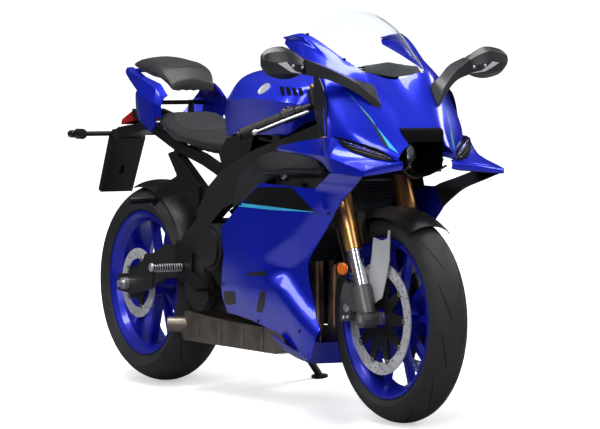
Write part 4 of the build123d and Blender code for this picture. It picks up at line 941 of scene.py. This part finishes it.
boxes, levers, knobs, reds, clamps, rings, weights = [[] for _ in range(7)]
for side in SIDES:
    at = partial(grip_at, side)
    line = (at(126) - at(84)).normalized()
    boxes.append(lathe(at(84), line, [(12, 0), (19, 0), (21, 2.5), (21, 39), (19, 41.5), (12, 41.5)], 10))
    clamps.append(lathe(at(60), line, [(12, 0), (15.5, 0), (17, 1.5), (17, 20.5), (15.5, 22), (12, 22)], 20))
    lever = [at(*spot) for spot in ((72, 50), (92, 62, 2), (150, 61, 4), (215, 56, 3), (236, 60, 4))]
    levers.append(tube(lever, [6.2, 6.5, 5.6, 4.8, 4.6], 12, 0.72, 6))
    levers.append(lathe(at(240, 60, 4), line, [(0, -9), (5, -8), (7.6, -4), (8, 0), (7.6, 4), (5, 8), (0, 9)],
        16))
    clamps.append(tube([at(72, 10), at(73, 34, 1), at(78, 56, 2)], [10, 9.6, 8.4], 14, 0.8, 5))
    knobs.append(lathe(at(104, -4, 19), (0, 0, 1), [(0, 6), (6, 6), (7, 5), (7, -2)], 16))
    reds.append(lathe(at(118, -2, 17), (0, 0, 1), [(0, 7), (5, 7), (6, 6), (6, -2)], 16))
    for k in range(17):
        rings.append(lathe(at(132 + 7 * k), line, [(16.4, -2.4), (17.6, -1.6), (17.6, 1.6), (16.4, 2.4)], 24))
    weights.append(lathe(at(252), line, [(0, 0), (13, 0), (15, 2), (15, 8), (13, 9.6), (0, 9.9)], 24))
piece("switch_boxes", boxes, plastic, "steering", "controls", "black_plastic", bevel=1.2)
piece("lever_clamps", clamps, black_metal, "steering")
piece("levers", levers, alloy, "steering", sharp=60)
piece("switch_knobs", knobs, gloss, "steering")
piece("stop_switch", reds[0], red_lens, "steering", slot="red_lens")
piece("grip_rings", rings, grip_rubber, "steering", slot="grip_rubber")
piece("bar_weights", weights, black_metal, "steering")

# ---- Fork reflectors, fork caps and stem nut
reflect, arms, caps = [], [], []
for side in SIDES:
    spot = FRONT_AXLE + Vector((0, side * 139, 0)) + ALONG * 158 - AHEAD * 20
    reflect.append(lathe(spot, (0.25, side, 0), [(0, 10), (15, 10), (17.5, 7), (17.5, 0), (0, 0)], 28))
    arms.append(tube([spot, FRONT_AXLE + Vector((0, side * 122, 0)) + ALONG * 130], 6, 10, 0.5, 1))
    top = FRONT_AXLE + Vector((0, side * FORK_HALF, 0)) + ALONG * 712
    caps.append(lathe(top, ALONG, [(0, 9), (9, 9), (9.5, 3), (21, 3), (23, 1), (24, -2)], 36))
piece("fork_reflectors", reflect, amber, "steering", slot="red_lens")
piece("reflector_arms", arms, black_metal, "steering")
piece("fork_caps", caps, gold, "steering", slot="gold_alloy")
piece("stem_nut", lathe(FRONT_AXLE - AHEAD * 28.9 + ALONG * 708, ALONG,
    [(6, 10), (14, 10), (15, 8), (15, -1)], 6), steel, "steering")

# ---- Signals, seat lock and seams
lamps = [lathe((-270, side * 196, 785), (1, 0, 0), [(0, -2), (8, -1), (12, 5), (13, 16), (11, 30), (0, 34)],
    20) for side in SIDES]
piece("signal_tips", lamps, gloss)
lock = lathe((168, 0, 992), (0.72, 0, 0.69), [(0, 3), (4.5, 3), (5, 4.5), (11, 4.5), (12.5, 3), (13, -4)], 28)
piece("pillion_lock", lock, alloy)


def pad_seam(name, pad, half):
    """Sewn ridge laid on a pad, from one half of its plan as (x, y) points that end in the middle."""
    line = [(x, -y) for x, y in half] + half[-2::-1]
    mesh = bpy.data.objects[pad].data
    tree = tree_of(([v.co for v in mesh.vertices], [tuple(p.vertices) for p in mesh.polygons]))
    down = PARK.to_3x3() @ Vector((0, 0, -1))
    hits = [tree.ray_cast(PARK @ Vector((p.x, p.y, 1300)), down)[0]
        for p in fill([(x, y, 0) for x, y in line], 6)]
    back = PARK.inverted()
    piece(name, tube([back @ spot for spot in hits if spot], 1.5, 8, 1, 1), grip_rubber, slot="seat_cover")


pad_seam("rider_seam", "rider_pad", [(206, 92), (300, 99), (400, 96), (500, 70), (560, 40), (575, 0)])
pad_seam("pillion_seam", "pillion_pad", [(-70, 40), (0, 66), (80, 76), (150, 62), (164, 0)])

# ---- Floor and studio
def split_rays(tree, shown, unseen, output):
    """Gives the camera, also through glass, one shader and every other ray another."""
    ray = add_node(tree, "LightPath")
    direct = add_node(tree, "Math", "MAXIMUM")
    mixed = add_node(tree, "MixShader")
    wire(tree, (ray, "Is Camera Ray", direct, 0), (ray, "Is Transmission Ray", direct, 1),
        (direct, "Value", mixed, "Fac"), (unseen, 0, mixed, 1), (shown, 0, mixed, 2),
        (mixed, "Shader", tree.nodes[output], "Surface"))


def studio_floor():
    """Pale floor that fades into the white room, and bounces little light."""
    made, tree = new_material("studio_floor")
    shown = tree.nodes["Principled BSDF"]
    put(shown, Base_Color=(0.8, 0.8, 0.81, 1), Roughness=0.8, Specular_IOR_Level=0.1,
        Emission_Color=(1, 1, 1, 1))
    place = add_node(tree, "TexCoord")
    far = add_node(tree, "VectorMath", "LENGTH")
    fade = add_node(tree, "MapRange", From_Min=0.7, From_Max=3.2, To_Min=0.5, To_Max=1)
    wire(tree, (place, "Object", far, 0), (far, "Value", fade, "Value"),
        (fade, "Result", shown, "Emission Strength"))
    plain = add_node(tree, "BsdfDiffuse", Color=(0.3, 0.3, 0.31, 1))
    split_rays(tree, shown, plain, "Material Output")
    return made


ring = [(40 * cos(k * pi / 24), 40 * sin(k * pi / 24), 0) for k in range(48)]
floor_mesh = bpy.data.meshes.new("floor")
floor_mesh.from_pydata(ring, [], [list(range(48))])
floor_mesh.materials.append(studio_floor())
floor = add_object("floor", floor_mesh)

world = bpy.data.worlds.new("studio")
scene.world = world
scene.view_settings.view_transform = "Standard"
world.use_nodes = True
sky = world.node_tree
backdrop = sky.nodes["Background"]
put(backdrop, Color=(1, 1, 1, 1), Strength=1)
where = add_node(sky, "TexCoord")
height = add_node(sky, "SeparateXYZ")
room = colour_ramp(sky, (0, (0.02, 0.02, 0.022)), (0.3, (0.05, 0.052, 0.058)), (1, (0.3, 0.31, 0.33)))
unlit = add_node(sky, "Background")
wire(sky, (where, "Generated", height, "Vector"), (height, "Z", room, "Fac"), (room, "Color", unlit, "Color"))
split_rays(sky, backdrop, unlit, "World Output")


def softbox(name, place, target, size, power):
    """Rectangular studio light aimed at a point."""
    lamp = add_object(name, bpy.data.lights.new(name, "AREA"))
    lamp.data.shape = "RECTANGLE"
    lamp.data.size, lamp.data.size_y = size
    lamp.data.energy = power
    lamp.location = place
    lamp.rotation_mode = "QUATERNION"
    lamp.rotation_quaternion = (Vector(target) - Vector(place)).to_track_quat("-Z", "Y")


softbox("top_box", (0.3, 0, 4.2), (0, 0, 0.6), (4.2, 1.3), 250)
softbox("key_box", (3.6, -3.2, 3.1), (0.2, 0, 0.7), (1, 2), 78)
softbox("side_box", (-2.6, -4, 3.1), (-0.1, 0, 0.6), (2.4, 0.6), 42)
softbox("rim_box", (0.5, 4.2, 2.4), (0, 0, 0.6), (3, 0.8), 70)
softbox("front_box", (4.6, 1.2, 2.2), (0.4, 0, 0.8), (0.6, 2.2), 55)
